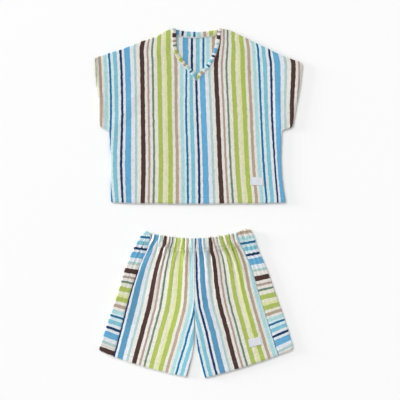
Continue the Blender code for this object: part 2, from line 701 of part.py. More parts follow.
def make_shorts(collection):
    shorts = Shorts()
    for leg, side in ((0, "left"), (1, "right")):
        make_leg_front(collection, shorts, leg, "shorts_front_" + side)
        make_leg_back(collection, shorts, leg, "shorts_back_" + side)
        make_side_strip(collection, shorts, leg, "shorts_side_" + side)
    make_label("shorts_label", collection, SHORTS_LABEL, shorts.front_face)


def leg_panel_plan(shorts, leg, columns):
    up = shorts.rows(leg)
    table = shorts.level(leg, up)
    width = np.hypot(table[:, INNER_X] - table[:, SEAM_X], table[:, INNER_Y] - table[:, SEAM_Y])
    share = panel_shares(width, columns)
    x, y = shorts.across_panel(leg, up, share)
    below = (shorts.heights[leg][-1] - BAND_DEPTH - up)[:, None] + 0 * share
    return x, y, share, below


def make_leg_front(collection, shorts, leg, name):
    x, y, share, below = leg_panel_plan(shorts, leg, FRONT_COLUMNS_PER_GATHER * FRONT_GATHERS)
    gathers = gather_height(share, below, FRONT_GATHERS, 0.15 + 0.4 * leg)
    gathers *= blend(0, 0.05, share) * blend(0, 0.05, 1 - share)
    z = shorts.front_face(x, y, gathers)
    cloth_piece(name, collection, solid_grid(x, y, z), shorts.wall(x, y), COLOURS["front"])


def make_leg_back(collection, shorts, leg, name):
    x, y, share, below = leg_panel_plan(shorts, leg, BACK_LEG_COLUMNS)
    z = EDGE_DROP * shorts.inside_leg_turn(x, y)
    cloth_piece(name, collection, solid_grid(x, y, z), shorts.wall(x, y), COLOURS["back"], facing_up=False)


def make_side_strip(collection, shorts, leg, name):
    """From the front's seam over to the outer edge, round it, and back underneath to the back's seam."""
    up = shorts.rows(leg)
    table = shorts.level(leg, up)
    width = np.hypot(table[:, SEAM_X] - table[:, OUTER_X], table[:, SEAM_Y] - table[:, OUTER_Y])
    casing = shorts.heights[leg][-1] - BAND_DEPTH
    rows, walls = [], []
    for k, height in enumerate(up):
        fold_x, fold_y = shorts.across_strip(leg, np.array([height]), np.array([[8.0 / width[k]]]))
        radius = float(shorts.front_face(fold_x, fold_y)[0, 0]) / 2
        seam = 1 - SEAM_GAP / 2 / width[k]
        dip = 1 - SEAM_DIP_WIDTH / width[k]
        start = radius / width[k]
        over = np.r_[seam, dip, np.linspace(dip, start, STRIP_COLUMNS + 1)[1:]]
        under = np.r_[start, (start + seam) / 2, seam]
        round_fold = start * (1 - np.cos(STRIP_TURN))
        share = np.r_[over, round_fold, under][None, :]
        x, y = shorts.across_strip(leg, np.array([height]), share)
        gathers = gather_height(share, casing - height + 0 * share, SIDE_GATHERS, 0.3 + 0.3 * leg)
        near_fold = blend(start, 2.5 * start, share)
        near_seam = blend(0, 0.15, 1 - share)
        crowded = min(1, width[k] / (SIDE_GATHERS * GATHER_WIDTH))
        z = shorts.front_face(x, y, gathers * near_fold * near_seam * crowded)
        z[0, len(over) - 1] = 2 * radius
        z[0, len(over):len(over) + len(STRIP_TURN)] = radius + radius * np.sin(STRIP_TURN)
        z[0, -len(under):] = 0
        wall = shorts.wall(x, y)
        rows.append(solid_grid(x, y, z)[0])
        walls.append(wall[0])
    cloth_piece(name, collection, np.array(rows), np.array(walls), COLOURS["side"])


def main():
    clear_scene()
    collection = bpy.data.collections.new("towelling_shorts_set")
    bpy.context.scene.collection.children.link(collection)
    make_top(collection)
    make_shorts(collection)


main()
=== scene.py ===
# %% [markdown]
# # A towelling shorts set, laid flat
#
# The set is a V-neck top and a pair of shorts in one striped towelling, lying on a white table and
# seen from straight above. The imported part gives every piece its place and its size. This lesson
# puts real cloth on it: fine sheets with the nap of towelling, stripes that follow each piece's
# grain, gathers under an elastic waist, bindings, hems and stitches.
#
# The imported part comes in first.

# %% Load the imported part
import math

import bpy
import numpy as np
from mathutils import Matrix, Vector


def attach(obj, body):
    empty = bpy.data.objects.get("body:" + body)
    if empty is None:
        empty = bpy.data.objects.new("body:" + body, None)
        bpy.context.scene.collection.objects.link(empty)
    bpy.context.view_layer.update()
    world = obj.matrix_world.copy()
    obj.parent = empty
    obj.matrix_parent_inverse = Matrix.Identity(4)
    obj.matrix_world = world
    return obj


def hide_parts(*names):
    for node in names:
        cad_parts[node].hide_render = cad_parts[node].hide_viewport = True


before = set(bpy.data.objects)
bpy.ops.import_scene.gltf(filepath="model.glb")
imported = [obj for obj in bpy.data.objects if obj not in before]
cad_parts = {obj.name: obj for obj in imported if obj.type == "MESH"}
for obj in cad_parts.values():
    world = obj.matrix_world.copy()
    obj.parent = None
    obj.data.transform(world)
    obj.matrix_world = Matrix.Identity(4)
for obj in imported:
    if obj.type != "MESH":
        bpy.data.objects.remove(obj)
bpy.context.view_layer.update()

# %% [markdown]
# ## The camera
#
# The set is seen from straight above. A long lens far away keeps both garments free of
# perspective, as on a copy stand. One pixel of the 400-pixel picture covers 3 mm of the table, and
# that fixes the lens once the camera's height is chosen.
#
# Lengths are written in millimetres, as a tailor would, and are scaled when a mesh is made. The
# tailor's zero lies a little above the middle of the layout, so that is taken off too.

# %% Camera
MM = 0.001
LAYOUT_MIDDLE = np.array([0.0, -2.5, 0.0])
PICTURE_WIDTH = 400 * 3.0
PICTURE_MIDDLE = (3.0, 9.0)
CAMERA_HEIGHT = 6000.0
SENSOR_WIDTH = 36.0

scene = bpy.context.scene
camera_data = bpy.data.cameras.new("camera")
camera_data.sensor_width = SENSOR_WIDTH
camera_data.lens = SENSOR_WIDTH * CAMERA_HEIGHT / PICTURE_WIDTH
camera = bpy.data.objects.new("camera", camera_data)
scene.collection.objects.link(camera)
camera.location = (np.array([*PICTURE_MIDDLE, CAMERA_HEIGHT]) - LAYOUT_MIDDLE) * MM
scene.camera = camera
print("lens", round(camera_data.lens, 1), "mm")

# %% [markdown]
# ## Table and light
#
# The table is a large white sheet. Three lights make the studio: an even white sky that fills every
# fold, a wide lamp high at the upper left that models the cloth, and a faint one low at the left that
# draws the long soft shadow beside the right-hand edges. The lamps stand far away, so the table is
# evenly lit. A plain colour transform keeps the stripes as bright as they are mixed.

# %% Table and light
TABLE_DROP = 0.5        # the nap of the undersides stands this proud
SKY_STRENGTH = 0.52
# Direction it comes from (x, y), elevation in degrees, size in metres, share of the table's light
LAMPS = {
    "high_lamp": ((-0.70, 0.71), 50, 42.0, 0.49),
    "low_lamp": ((-0.97, 0.24), 7.5, 13.0, 0.09),
}
LAMP_DISTANCE = 60.0


def make_table():
    size = 150.0        # metres each way, so that its edge never shows
    corners = [(-size, -size), (size, -size), (size, size), (-size, size)]
    mesh = bpy.data.meshes.new("table")
    mesh.from_pydata([(x, y, -TABLE_DROP * MM) for x, y in corners], [], [(0, 1, 2, 3)])
    table = bpy.data.objects.new("table", mesh)
    scene.collection.objects.link(table)
    material = bpy.data.materials.new("white_table")
    material.use_nodes = True
    shader = material.node_tree.nodes["Principled BSDF"]
    shader.inputs["Base Color"].default_value = (0.945, 0.945, 0.945, 1)
    shader.inputs["Roughness"].default_value = 0.9
    shader.inputs["Specular IOR Level"].default_value = 0.0
    mesh.materials.append(material)


def add_lamp(name, direction, elevation, size, share):
    """A square lamp that faces the layout. A share of 1 would light a white table fully."""
    lift = math.sin(math.radians(elevation))
    level = math.cos(math.radians(elevation)) / math.hypot(*direction)
    data = bpy.data.lights.new(name, "AREA")
    data.shape = "SQUARE"
    data.size = size
    data.energy = share * (math.pi * LAMP_DISTANCE) ** 2 / lift
    lamp = bpy.data.objects.new(name, data)
    scene.collection.objects.link(lamp)
    place = Vector((direction[0] * level, direction[1] * level, lift)) * LAMP_DISTANCE
    lamp.location = place
    lamp.rotation_euler = (-place).to_track_quat("-Z", "Y").to_euler()


make_table()
for lamp_name, settings in LAMPS.items():
    add_lamp(lamp_name, *settings)
world = bpy.data.worlds.new("white_sky")
world.use_nodes = True
world.node_tree.nodes["Background"].inputs["Color"].default_value = (1, 1, 1, 1)
world.node_tree.nodes["Background"].inputs["Strength"].default_value = SKY_STRENGTH
scene.world = world
scene.view_settings.view_transform = "Standard"
print("lit by", len(LAMPS), "lamps and the sky")

# %% [markdown]
# ## Shader maths as Python
#
# Materials here are built from formulas, and a formula is easier to read than a list of links. A
# Wire holds one output socket, and adding, subtracting, multiplying or dividing wires adds the Math
# nodes. A Finish is a material under construction. Its node method makes any other node.

# %% Wires and finishes


class Wire:
    """A number in a material's node tree."""

    def __init__(self, finish, socket):
        self.finish = finish
        self.socket = socket

    def maths(self, operation, *values):
        return self.finish.node("ShaderNodeMath", {"operation": operation}, dict(enumerate(values)))

    def __add__(self, other):
        return self.maths("ADD", self, other)

    def __sub__(self, other):
        return self.maths("SUBTRACT", self, other)

    def __rsub__(self, other):
        return self.maths("SUBTRACT", other, self)

    def __mul__(self, other):
        return self.maths("MULTIPLY", self, other)

    def __truediv__(self, other):
        return self.maths("DIVIDE", self, other)

    def fraction(self):
        return self.maths("FRACT", self)

    __radd__ = __add__


class Finish:
    """A material under construction, with its node tree and its main shader."""

    def __init__(self, name, roughness, sheen=0.0):
        self.material = bpy.data.materials.new(name)
        self.material.use_nodes = True
        self.tree = self.material.node_tree
        self.shader = self.tree.nodes["Principled BSDF"]
        self.shader.inputs["Roughness"].default_value = roughness
        self.shader.inputs["Specular IOR Level"].default_value = 0.2
        self.shader.inputs["Sheen Weight"].default_value = sheen
        self.shader.inputs["Sheen Roughness"].default_value = 0.6

    def node(self, kind, settings, sockets, output=0):
        """A node with its settings and its sockets' values or wires. It gives one output's wire."""
        node = self.tree.nodes.new(kind)
        for name, value in settings.items():
            if name == "stops":
                self.set_stops(node.color_ramp, value)
            elif name == "interpolation":
                node.color_ramp.interpolation = value
            else:
                setattr(node, name, value)
        for name, value in sockets.items():
            self.put(node.inputs[name], value)
        return Wire(self, node.outputs[output])

    def set_stops(self, ramp, stops):
        while len(ramp.elements) < len(stops):
            ramp.elements.new(1.0)
        for element, (position, colour) in zip(ramp.elements, stops):
            element.position = position
            element.color = (*colour, 1)

    def put(self, socket, value):
        if isinstance(value, Wire):
            self.tree.links.new(value.socket, socket)
        else:
            socket.default_value = value

    def mix(self, share, first, second, rule="MIX"):
        """Two colours mixed by a share, the second laid over the first by the rule."""
        sockets = {0: share, 6: first, 7: second}
        return self.node("ShaderNodeMix", {"data_type": "RGBA", "blend_type": rule}, sockets, 2)

    def noise(self, place, scale, detail=2.0):
        return self.node("ShaderNodeTexNoise", {}, {"Vector": place, "Scale": scale, "Detail": detail})

    def attribute(self, name):
        return self.node("ShaderNodeAttribute", {"attribute_name": name}, {}, "Fac")

    def feed(self, colour, height, strength, depth):
        """The finish's colour, and a bump whose height is a wire."""
        self.put(self.shader.inputs["Base Color"], colour)
        sockets = {"Strength": strength, "Distance": depth, "Height": height}
        self.put(self.shader.inputs["Normal"], self.node("ShaderNodeBump", {}, sockets))


print("shader helpers are ready")

# %% [markdown]
# ## The stripes
#
# The towelling is woven with coloured warp yarns, so its stripes run one way and come back every
# 225 mm. The chart gives each stripe's middle, its width, its yarn and the ground beside it. The
# ground is cream throughout, but loops of neighbouring yarns lean into it and tint it: cool
# between the blues, straw between the limes.
#
# A colour ramp with hard stops holds the chart, and it is read at the place across the cloth, taken
# within one repeat. Loops never end on a ruled line. Two noises push the place to and fro before the
# chart is read: a slow one for the cloth's own drift and a fast one for loops that lean over.

# %% Stripe chart
REPEAT = 225.0
YARNS = {
    "cream": (222, 220, 214),
    "rosy_cream": (224, 218, 212),
    "straw_cream": (223, 221, 206),
    "straw": (221, 219, 194),
    "aqua_cream": (206, 226, 232),
    "cool_cream": (218, 225, 231),
    "brown": (74, 53, 49),
    "beige": (168, 150, 139),
    "grey_green": (108, 130, 114),
    "lime": (168, 184, 97),
    "pale_lime": (214, 218, 163),
    "tan": (174, 156, 139),
    "pale_aqua": (171, 210, 213),
    "teal": (34, 106, 147),
    "aqua": (129, 187, 203),
    "navy": (25, 53, 92),
    "sky": (103, 166, 204),
    "pale_green": (172, 197, 196),
}
# Yarn, middle, width, and the ground after it
STRIPES = [
    ("brown", 0.0, 13.2, "rosy_cream"),
    ("beige", 18.2, 6.3, "cream"),
    ("grey_green", 31.8, 5.6, "straw_cream"),
    ("lime", 52.5, 13.2, "straw"),
    ("pale_lime", 70.4, 8.2, "straw"),
    ("lime", 81.0, 13.5, "straw_cream"),
    ("tan", 100.0, 8.6, "cream"),
    ("pale_aqua", 116.4, 9.6, "aqua_cream"),
    ("teal", 129.8, 6.3, "aqua_cream"),
    ("aqua", 146.2, 11.6, "cool_cream"),
    ("navy", 163.2, 6.8, "cool_cream"),
    ("sky", 182.3, 16.2, "cool_cream"),
    ("pale_green", 204.6, 7.6, "cream"),
]
CYCLE_START = -12.0     # where the chart is cut, in the cream before the brown stripe


def linear(colour):
    """A screen colour of 0 to 255 as the light that it stands for."""
    share = np.array(colour) / 255
    return tuple(float(c) for c in np.where(share < 0.04, share / 12.92, ((share + 0.055) / 1.055) ** 2.4))


def stripe_stops(sky):
    """The chart as a ramp's stops: each stripe's start, and the ground after it.

    Sky is the one dye that differs from piece to piece, so it is given.
    """
    yarns = {**YARNS, "sky": sky}
    stops = [(0.0, linear(yarns["cream"]))]
    for yarn, middle, width, ground in STRIPES:
        start, end = ((middle + way * width / 2 - CYCLE_START) / REPEAT for way in (-1, 1))
        if stops[-1][0] >= start:
            stops.pop()
        stops.append((start, linear(yarns[yarn])))
        stops.append((end, linear(yarns[ground])))
    return stops


print(len(stripe_stops(YARNS["sky"])), "stops in one repeat")

# %% [markdown]
# ## Towelling
#
# Towelling is a cloth of loops that stand up about 2 mm. From above it is matte, a little brighter
# at a slant, and mottled, because each loop catches the light by itself. Its brightness has three
# scales: cells of 2 mm for loops, a soft noise of 6 mm, longer along the stripes, for the way the
# pile parts, and clouds of 28 mm for how it was smoothed. Painted shade darkens the cells between
# loops, and the cells give the bump. One more noise shifts the hue a little, as loops of the next
# yarn show between the ground's own.
#
# Two attributes come from each mesh. The first is the share of the pile in the undyed colour:
# undyed pile at the bindings' edges and by the left leg's centre seam, and painted highlight along
# hem folds and sewn edges. The second is the share of painted shade, as at seams, rows of stitches
# and the troughs between gathers.
#
# One finish makes all the cloths. The bindings' towelling is made darker. The left leg's front is
# cut the other way up, so its pile leans towards the light, and that light is painted in: its copy
# of the finish is brighter. Both fronts are from a lot with a deeper sky.

# %% Towelling finish
LOOP_SIZE = 2.1
PILE_DEPTH = 1.1
# How far, in mm, the stripes' edges wander slowly and quickly, and the sizes of the wandering
DRIFT, DRIFT_SIZE = 1.5, 16.0
FLUTTER, FLUTTER_SIZE = 2.6, 2.6
PARTING_SIZE = 6.0
CLOUD_SIZE = 28.0
# What each scale adds to the brightness, and the painted shade taken off between loops and as marked
LOOP_TONE = 0.10
PARTING_TONE = 0.26
CLOUD_TONE = 0.12
GAP_SHADE = 0.26
PAINTED_SHADE_STRENGTH = 0.27
HUE_CHANGE = 0.13
UNDYED_AND_HIGHLIGHT = (248, 248, 246)
BRIGHTNESS = 1.03
# Painted light: the left leg's front, whose pile leans towards the light, is painted this much brighter
LIT_PILE_BRIGHTNESS = 1.19    # of pile that leans towards the light


def towelling(name, sky, brightness):
    """The striped towelling, with its sky dye and its brightness under this light."""
    finish = Finish(name, roughness=0.95, sheen=0.04)
    cloth = finish.node("ShaderNodeUVMap", {"uv_map": "cloth"}, {})
    across = finish.node("ShaderNodeSeparateXYZ", {}, {0: cloth}, "X")
    slow = finish.noise(cloth, 1 / (DRIFT_SIZE * MM))
    quick = finish.noise(cloth, 1 / (FLUTTER_SIZE * MM), 3.0)
    wander = (slow - 0.5) * (DRIFT * MM) + (quick - 0.5) * (FLUTTER * MM)
    place = ((across + wander) / (REPEAT * MM) - CYCLE_START / REPEAT).fraction()
    ramp_settings = {"interpolation": "CONSTANT", "stops": stripe_stops(sky)}
    dyed = finish.node("ShaderNodeValToRGB", ramp_settings, {0: place}, "Color")
    # The undyed colour: undyed pile, and painted highlight where the mesh marks it
    plain = finish.mix(finish.attribute("plain"), dyed, (*linear(UNDYED_AND_HIGHLIGHT), 1))

    cells = {"Vector": cloth, "Scale": 1 / (LOOP_SIZE * MM)}
    between = finish.node("ShaderNodeTexVoronoi", {}, cells) * 0.9
    shade = finish.node("ShaderNodeTexVoronoi", {}, cells, "Color")
    own = finish.node("ShaderNodeSeparateXYZ", {}, {0: shade}, "X")
    longer = {0: cloth, 1: (1.0, 0.5, 1.0)}
    leaning = finish.node("ShaderNodeVectorMath", {"operation": "MULTIPLY"}, longer)
    parting = finish.noise(leaning, 1 / (PARTING_SIZE * MM), 3.0)
    cloud = finish.noise(cloth, 1 / (CLOUD_SIZE * MM))
    light = brightness + (own - 0.5) * LOOP_TONE + (parting - 0.5) * PARTING_TONE
    light = light + (cloud - 0.5) * CLOUD_TONE + 0.03
    # Painted shade: between the loops, and where the mesh marks it
    light = light - between * between * GAP_SHADE - finish.attribute("pressed") * PAINTED_SHADE_STRENGTH
    hue_settings = {"Vector": cloth, "Scale": 1 / (PARTING_SIZE * MM), "Detail": 3.0}
    hue = finish.node("ShaderNodeTexNoise", {}, hue_settings, "Color")
    tints = [finish.node("ShaderNodeSeparateXYZ", {}, {0: hue}, axis) for axis in "XYZ"]
    channels = [light + (tint - 0.5) * HUE_CHANGE for tint in tints]
    shading = finish.node("ShaderNodeCombineXYZ", {}, dict(enumerate(channels)))
    colour = finish.mix(1.0, plain, shading, "MULTIPLY")
    finish.feed(colour, 1 - between + (quick - 0.5) * 0.6, 0.55, PILE_DEPTH * MM)
    return finish.material


plain_cloth = towelling("towelling", YARNS["sky"], BRIGHTNESS)
bound_cloth = towelling("towelling_bound", YARNS["sky"], 0.91 * BRIGHTNESS)
leg_cloths = [
    # Painted light: a brighter copy for the left leg's front
    towelling("towelling_left_leg", (91, 147, 181), LIT_PILE_BRIGHTNESS),
    towelling("towelling_right_leg", (93, 148, 183), 1.02 * BRIGHTNESS),
]
print("towelling finish has", len(plain_cloth.node_tree.nodes), "nodes")

# %% [markdown]
# ## Label and thread
#
# The labels are small white tapes of close weave, left bare. Two waves, one along the tape and one
# across it, are multiplied to give a soft weave. The thread is a soft white cotton, a little glossier
# than the loops, with a fine unevenness for its twist.

# %% Label and thread finishes
WEAVE = 0.9             # mm to one radian of a wave
WAVE_TURN = 20          # radians that a wave texture turns in one unit, at a scale of 1
TAPE = (219, 222, 229)


def woven_tape(name):
    finish = Finish(name, roughness=0.7, sheen=0.05)
    cloth = finish.node("ShaderNodeUVMap", {"uv_map": "cloth"}, {})
    waves = []
    for direction in ("X", "Y"):
        settings = {"wave_type": "BANDS", "bands_direction": direction}
        sockets = {"Vector": cloth, "Scale": 1 / (WEAVE * MM * WAVE_TURN), "Distortion": 0.4}
        waves.append(finish.node("ShaderNodeTexWave", settings, sockets, "Fac"))
    crossing = waves[0] * waves[1]
    light = 0.97 + (crossing - 0.25) * 0.10
    grey = finish.node("ShaderNodeCombineXYZ", {}, {0: light, 1: light, 2: light})
    colour = finish.mix(1.0, (*linear(TAPE), 1), grey, "MULTIPLY")
    finish.feed(colour, crossing, 0.3, 0.3 * MM)
    return finish.material


def cotton_thread(name, colour):
    finish = Finish(name, roughness=0.6, sheen=0.05)
    place = finish.node("ShaderNodeTexCoord", {}, {}, "Object")
    twist = finish.noise(place, 1 / (0.8 * MM))
    tint = finish.mix(twist, (*linear(colour), 1), (*linear([c * 0.9 for c in colour]), 1))
    finish.feed(tint, twist, 0.3, 0.2 * MM)
    return finish.material


label_tape = woven_tape("woven_label_tape")
white_thread = cotton_thread("white_thread", (226, 224, 218))
print("label and thread finishes are ready")

# %% [markdown]
# ## Smooth curves and soft steps
#
# Every outline is a short list of points on the real garment's edge, with a smooth curve through
# them. Heights are made of soft steps and soft ridges, measured from the distance to those edges.

# %% Curves, steps and distances


def blend(low, high, value):
    """0 below low, 1 above high and smooth between."""
    t = np.clip((np.asarray(value, float) - low) / (high - low), 0, 1)
    return t * t * (3 - 2 * t)


def through(knots, values, at):
    """A smooth curve through a value at each knot, which never swings past its values."""
    knots = np.asarray(knots, float)
    values = np.asarray(values, float)
    step = np.diff(knots)[:, None]
    rate = np.diff(values, axis=0) / step
    slope = np.vstack([rate[:1], rate[1:], rate[-1:]])
    before, after = rate[:-1], rate[1:]
    same_way = before * after > 0
    total = np.where(same_way, before + after, 1)
    slope[1:-1] = np.where(same_way, 2 * before * after / total, 0)
    slope[-1] = rate[-1]
    k = np.clip(np.searchsorted(knots, at, side="right") - 1, 0, len(knots) - 2)
    t = ((at - knots[k])[:, None]) / step[k]
    start = (1 + 2 * t) * (1 - t) ** 2 * values[k] + t * (1 - t) ** 2 * step[k] * slope[k]
    end = t * t * (3 - 2 * t) * values[k + 1] - t * t * (1 - t) * step[k] * slope[k + 1]
    return start + end


def arc_lengths(line):
    return np.r_[0, np.cumsum(np.hypot(*np.diff(line[:, :2], axis=0).T))]


def curve(points, count=60):
    """Count places evenly along a smooth curve through a few points."""
    points = np.asarray(points, float)
    lengths = arc_lengths(points)
    return through(lengths, points, np.linspace(0, lengths[-1], count))


def distance(x, y, *lines):
    """From each (x, y) to the nearest place on any of the lines."""
    nearest = np.full(np.shape(x), 1e9)
    for line in lines:
        for (ax, ay), (bx, by) in zip(line[:-1], line[1:]):
            run_x, run_y = bx - ax, by - ay
            t = np.clip(((x - ax) * run_x + (y - ay) * run_y) / (run_x**2 + run_y**2), 0, 1)
            nearest = np.minimum(nearest, (x - ax - t * run_x) ** 2 + (y - ay - t * run_y) ** 2)
    return np.sqrt(nearest)


def creases(x, y, table):
    """Soft ridges and troughs, each from one place to another and deepest halfway."""
    height = np.zeros(np.shape(x))
    for x1, y1, x2, y2, width, rise in table:
        length = math.hypot(x2 - x1, y2 - y1)
        run_x, run_y = (x2 - x1) / length, (y2 - y1) / length
        along = ((x - x1) * run_x + (y - y1) * run_y) / length
        across = (y - y1) * run_x - (x - x1) * run_y
        taper = blend(-0.15, 0.35, along) * (1 - blend(0.65, 1.15, along))
        height += rise * taper * np.exp(-((across / width) ** 2))
    return height


def steps(start, end, longest):
    """Places from start to end, start left out, in even steps no longer than the longest."""
    count = max(1, math.ceil(abs(end - start) / longest))
    return start + (end - start) * np.arange(1, count + 1) / count


def inward_vectors(line, first=None, last=None):
    """To the right of a line's run at each point, as long as makes a strip of even width.

    First and last turn the line's ends to a direction of their own, such as a mitre's.
    """
    run = np.gradient(line, axis=0)
    run /= np.hypot(run[:, 0], run[:, 1])[:, None]
    inward = np.column_stack([run[:, 1], -run[:, 0]])
    for end, direction in ((0, first), (-1, last)):
        if direction is not None:
            inward[end] = np.array(direction) / np.dot(inward[end], direction)
    return inward


print("curve helpers are ready")

# %% [markdown]
# ## From a grid to a piece of cloth
#
# A cut piece is a grid of points in rows. It becomes a mesh of quads with a UV map called cloth,
# which is the place on the flat striped cloth, and the Solidify modifier gives it the thickness of
# towelling.
#
# Nothing sewn by hand is ruled. Corners are rounded off, and a sum of slow waves, the same for every
# piece, sways all the edges a little. A small random lift, the same each run, makes the nap: each
# point of the grid stands for a few loops, so the light breaks up on it and the outline frays. Where
# rows or columns crowd at a seam the lift is smaller, so that it makes no spikes.

# %% Cloth pieces
NAP = 0.17
NAP_LIMIT = 2.2         # the most that one point is lifted, in naps
EDGE_FUZZ = 0.35
FREE_SPACING = 2.0      # the distance between points, in mm, from which the nap is full
SWAY = 0.2
SWAY_LENGTHS = (17, 23, 31, 43, 59, 83)


def rounded(x, y, corners):
    """The places with the outline's corners rounded off. A corner is x, y, inward x and y, radius."""
    x, y = x.copy(), y.copy()
    for corner_x, corner_y, in_x, in_y, radius in corners:
        near = np.clip(1 - np.hypot(x - corner_x, y - corner_y) / (1.7 * radius), 0, 1) ** 2
        x += 0.414 * radius * in_x * near
        y += 0.414 * radius * in_y * near
    return x, y


def spacing(points):
    """How far each point of a grid is from its nearest neighbour in its row or column."""
    nearest = np.full(points.shape[:2], np.inf)
    for gap, before, after in (
        (np.linalg.norm(np.diff(points, axis=0), axis=2), np.s_[:-1], np.s_[1:]),
        (np.linalg.norm(np.diff(points, axis=1), axis=2), np.s_[:, :-1], np.s_[:, 1:]),
    ):
        nearest[before] = np.minimum(nearest[before], gap)
        nearest[after] = np.minimum(nearest[after], gap)
    return nearest


def swayed(points):
    """The points moved by a slow sway that is the same for every piece, so that seams stay shut."""
    random = np.random.default_rng(7)
    moved = points.copy()
    for length, turn, phase in zip(SWAY_LENGTHS, random.uniform(0, 6.3, 6), random.uniform(0, 6.3, 6)):
        run = points[..., 0] * math.cos(turn) + points[..., 1] * math.sin(turn)
        wave = SWAY * np.sin(2 * math.pi * run / length + phase)
        moved[..., 0] -= wave * math.sin(turn + 0.7)
        moved[..., 1] += wave * math.cos(turn + 0.7)
    return moved


def ruffled(points, seed):
    """The points with the sway, the nap's small random lift, and a smaller push sideways."""
    random = np.random.default_rng(seed)
    free = np.clip(spacing(points) / FREE_SPACING, 0, 1)
    limit = NAP_LIMIT * NAP
    lift = free * np.clip(random.normal(0, NAP, points.shape[:2]), -limit, limit)
    sideways = free[..., None] * random.uniform(-EDGE_FUZZ, EDGE_FUZZ, (*points.shape[:2], 2))
    return swayed(points) + np.dstack([sideways, lift])


def grid_faces(keep):
    """The quads of a grid, as indices of its points row by row, where keep says there is cloth."""
    columns = keep.shape[1] + 1
    row, column = np.nonzero(keep)
    corner = row * columns + column
    return np.column_stack([corner, corner + 1, corner + columns + 1, corner + columns])


def welded(faces, points):
    """The faces with points that lie in one place made one, and without faces that have no width."""
    places = np.round(points.reshape(-1, 3), 3)
    _, first, place = np.unique(places, axis=0, return_index=True, return_inverse=True)
    faces = first[place.ravel()][faces]
    return faces[(faces != np.roll(faces, 1, axis=1)).all(1)]


def cloth_piece(name, points, walls, cloth, material, facing_up=True, keep=None, marks=None, seed=0):
    """A finished piece of cloth, thickened inwards from the face that its points give.

    Cloth is each point's place on the flat cloth, and marks holds the shares of undyed colour with painted
    highlight, and of painted shade.
    """
    if keep is None:
        keep = np.ones((points.shape[0] - 1, points.shape[1] - 1), bool)
    faces = welded(grid_faces(keep), points)
    used = np.unique(faces)
    renumbered = np.zeros(points.shape[0] * points.shape[1], int)
    renumbered[used] = np.arange(len(used))
    faces = renumbered[faces]
    flat = (ruffled(points, seed).reshape(-1, 3)[used] - LAYOUT_MIDDLE) * MM
    across, along = points[:-1, 1] - points[:-1, 0], points[1:, 0] - points[:-1, 0]
    if (np.cross(across, along)[:, 2].sum() > 0) != facing_up:
        faces = faces[:, ::-1]
    mesh = bpy.data.meshes.new(name)
    mesh.from_pydata(flat.tolist(), [], faces.tolist())
    uv_layer = mesh.uv_layers.new(name="cloth")
    places = cloth.reshape(-1, 2)[used][faces.ravel()] * MM
    uv_layer.data.foreach_set("uv", places.ravel())
    for mark in ("plain", "pressed"):
        attribute = mesh.attributes.new(mark, "FLOAT", "POINT")
        values = np.zeros(len(used)) if marks is None else marks[mark].ravel()[used]
        attribute.data.foreach_set("value", values)
    mesh.materials.append(material)
    mesh.shade_smooth()
    return thickened(name, mesh, walls.ravel()[used])


def thickened(name, mesh, walls):
    """The mesh as an object with the cloth's thickness, its modifier applied."""
    sheet = bpy.data.objects.new(name + "_sheet", mesh)
    scene.collection.objects.link(sheet)
    group = sheet.vertex_groups.new(name="wall")
    thickest = float(walls.max())
    for share in np.unique(np.round(walls / thickest, 2)):
        members = np.nonzero(np.round(walls / thickest, 2) == share)[0]
        group.add(members.tolist(), float(share), "REPLACE")
    solidify = sheet.modifiers.new("wall", "SOLIDIFY")
    solidify.thickness = thickest * MM
    solidify.offset = -1.0
    solidify.vertex_group = "wall"
    return settled(name, sheet)


def settled(name, source):
    """A simple object with the source's final mesh. The source goes."""
    evaluated = source.evaluated_get(bpy.context.evaluated_depsgraph_get())
    mesh = bpy.data.meshes.new_from_object(evaluated)
    mesh.name = name
    piece = bpy.data.objects.new(name, mesh)
    scene.collection.objects.link(piece)
    bpy.data.objects.remove(source, do_unlink=True)
    print(name, len(mesh.polygons), "faces")
    return piece


def flat_size(points, keep=None):
    """A grid's area in square metres, and its width and length in metres."""
    along = points[1:] - points[:-1]
    across = points[:, 1:] - points[:, :-1]
    first = np.cross(across[:-1], along[:, :-1])
    second = np.cross(across[1:], along[:, 1:])
    cells = (np.linalg.norm(first, axis=2) + np.linalg.norm(second, axis=2)) / 2
    if keep is not None:
        cells = cells * keep
    widths = np.linalg.norm(across, axis=2).sum(1)
    lengths = np.linalg.norm(along, axis=2).sum(0)
    return cells.sum() * MM**2, widths.max() * MM, lengths.max() * MM


def declare(piece, node, points, keep=None):
    """The piece takes its node's place and says what sheet it was cut from."""
    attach(piece, "root")
    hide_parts(node)
    area, width, length = flat_size(points, keep)
    area = min(area, width * length)
    print(f"{node}: {width * 1000:.0f} by {length * 1000:.0f} mm, {area:.4f} square metres")


print("cloth helpers are ready")

# %% [markdown]
# ## The top's outline
#
# The top is cut in one with its sleeves, like a T laid flat, so front and back are single panels.
# The tables give the shoulders, sleeve hems, sides and the neck opening as they lie in the layout,
# with the neck at the top. Left and right are as seen from above.

# %% Top measures
WALL = 2.4
FACE = 6.9
EDGE_FACE = 7.2
EDGE_FALL = (12, 45)
EDGE_TURN = 2.6
EDGE_DROP = 1.55
HEM_WALL = 3.6
HEM_FACE = 8.1
HEM_DEPTH = 20.0
HEM_TURN = 4.2
HEM_DROP = 3.2
HEM_THINNING = 1.6
SLEEVE_HEM_DEPTH = 14.0
BINDING_WALL = 1.4
BINDING_WIDTH = 11.0
BACK_BAND_WIDTH = 18.0
SEAM_GAP = 0.3
NOSE_RADIUS = WALL / 2 + SEAM_GAP + BINDING_WALL
BINDING_RAISE = SEAM_GAP + BINDING_WALL
MITRE_GAP = 0.2
STITCH_DIP = 0.7
GROOVE_WIDTH = 1.6

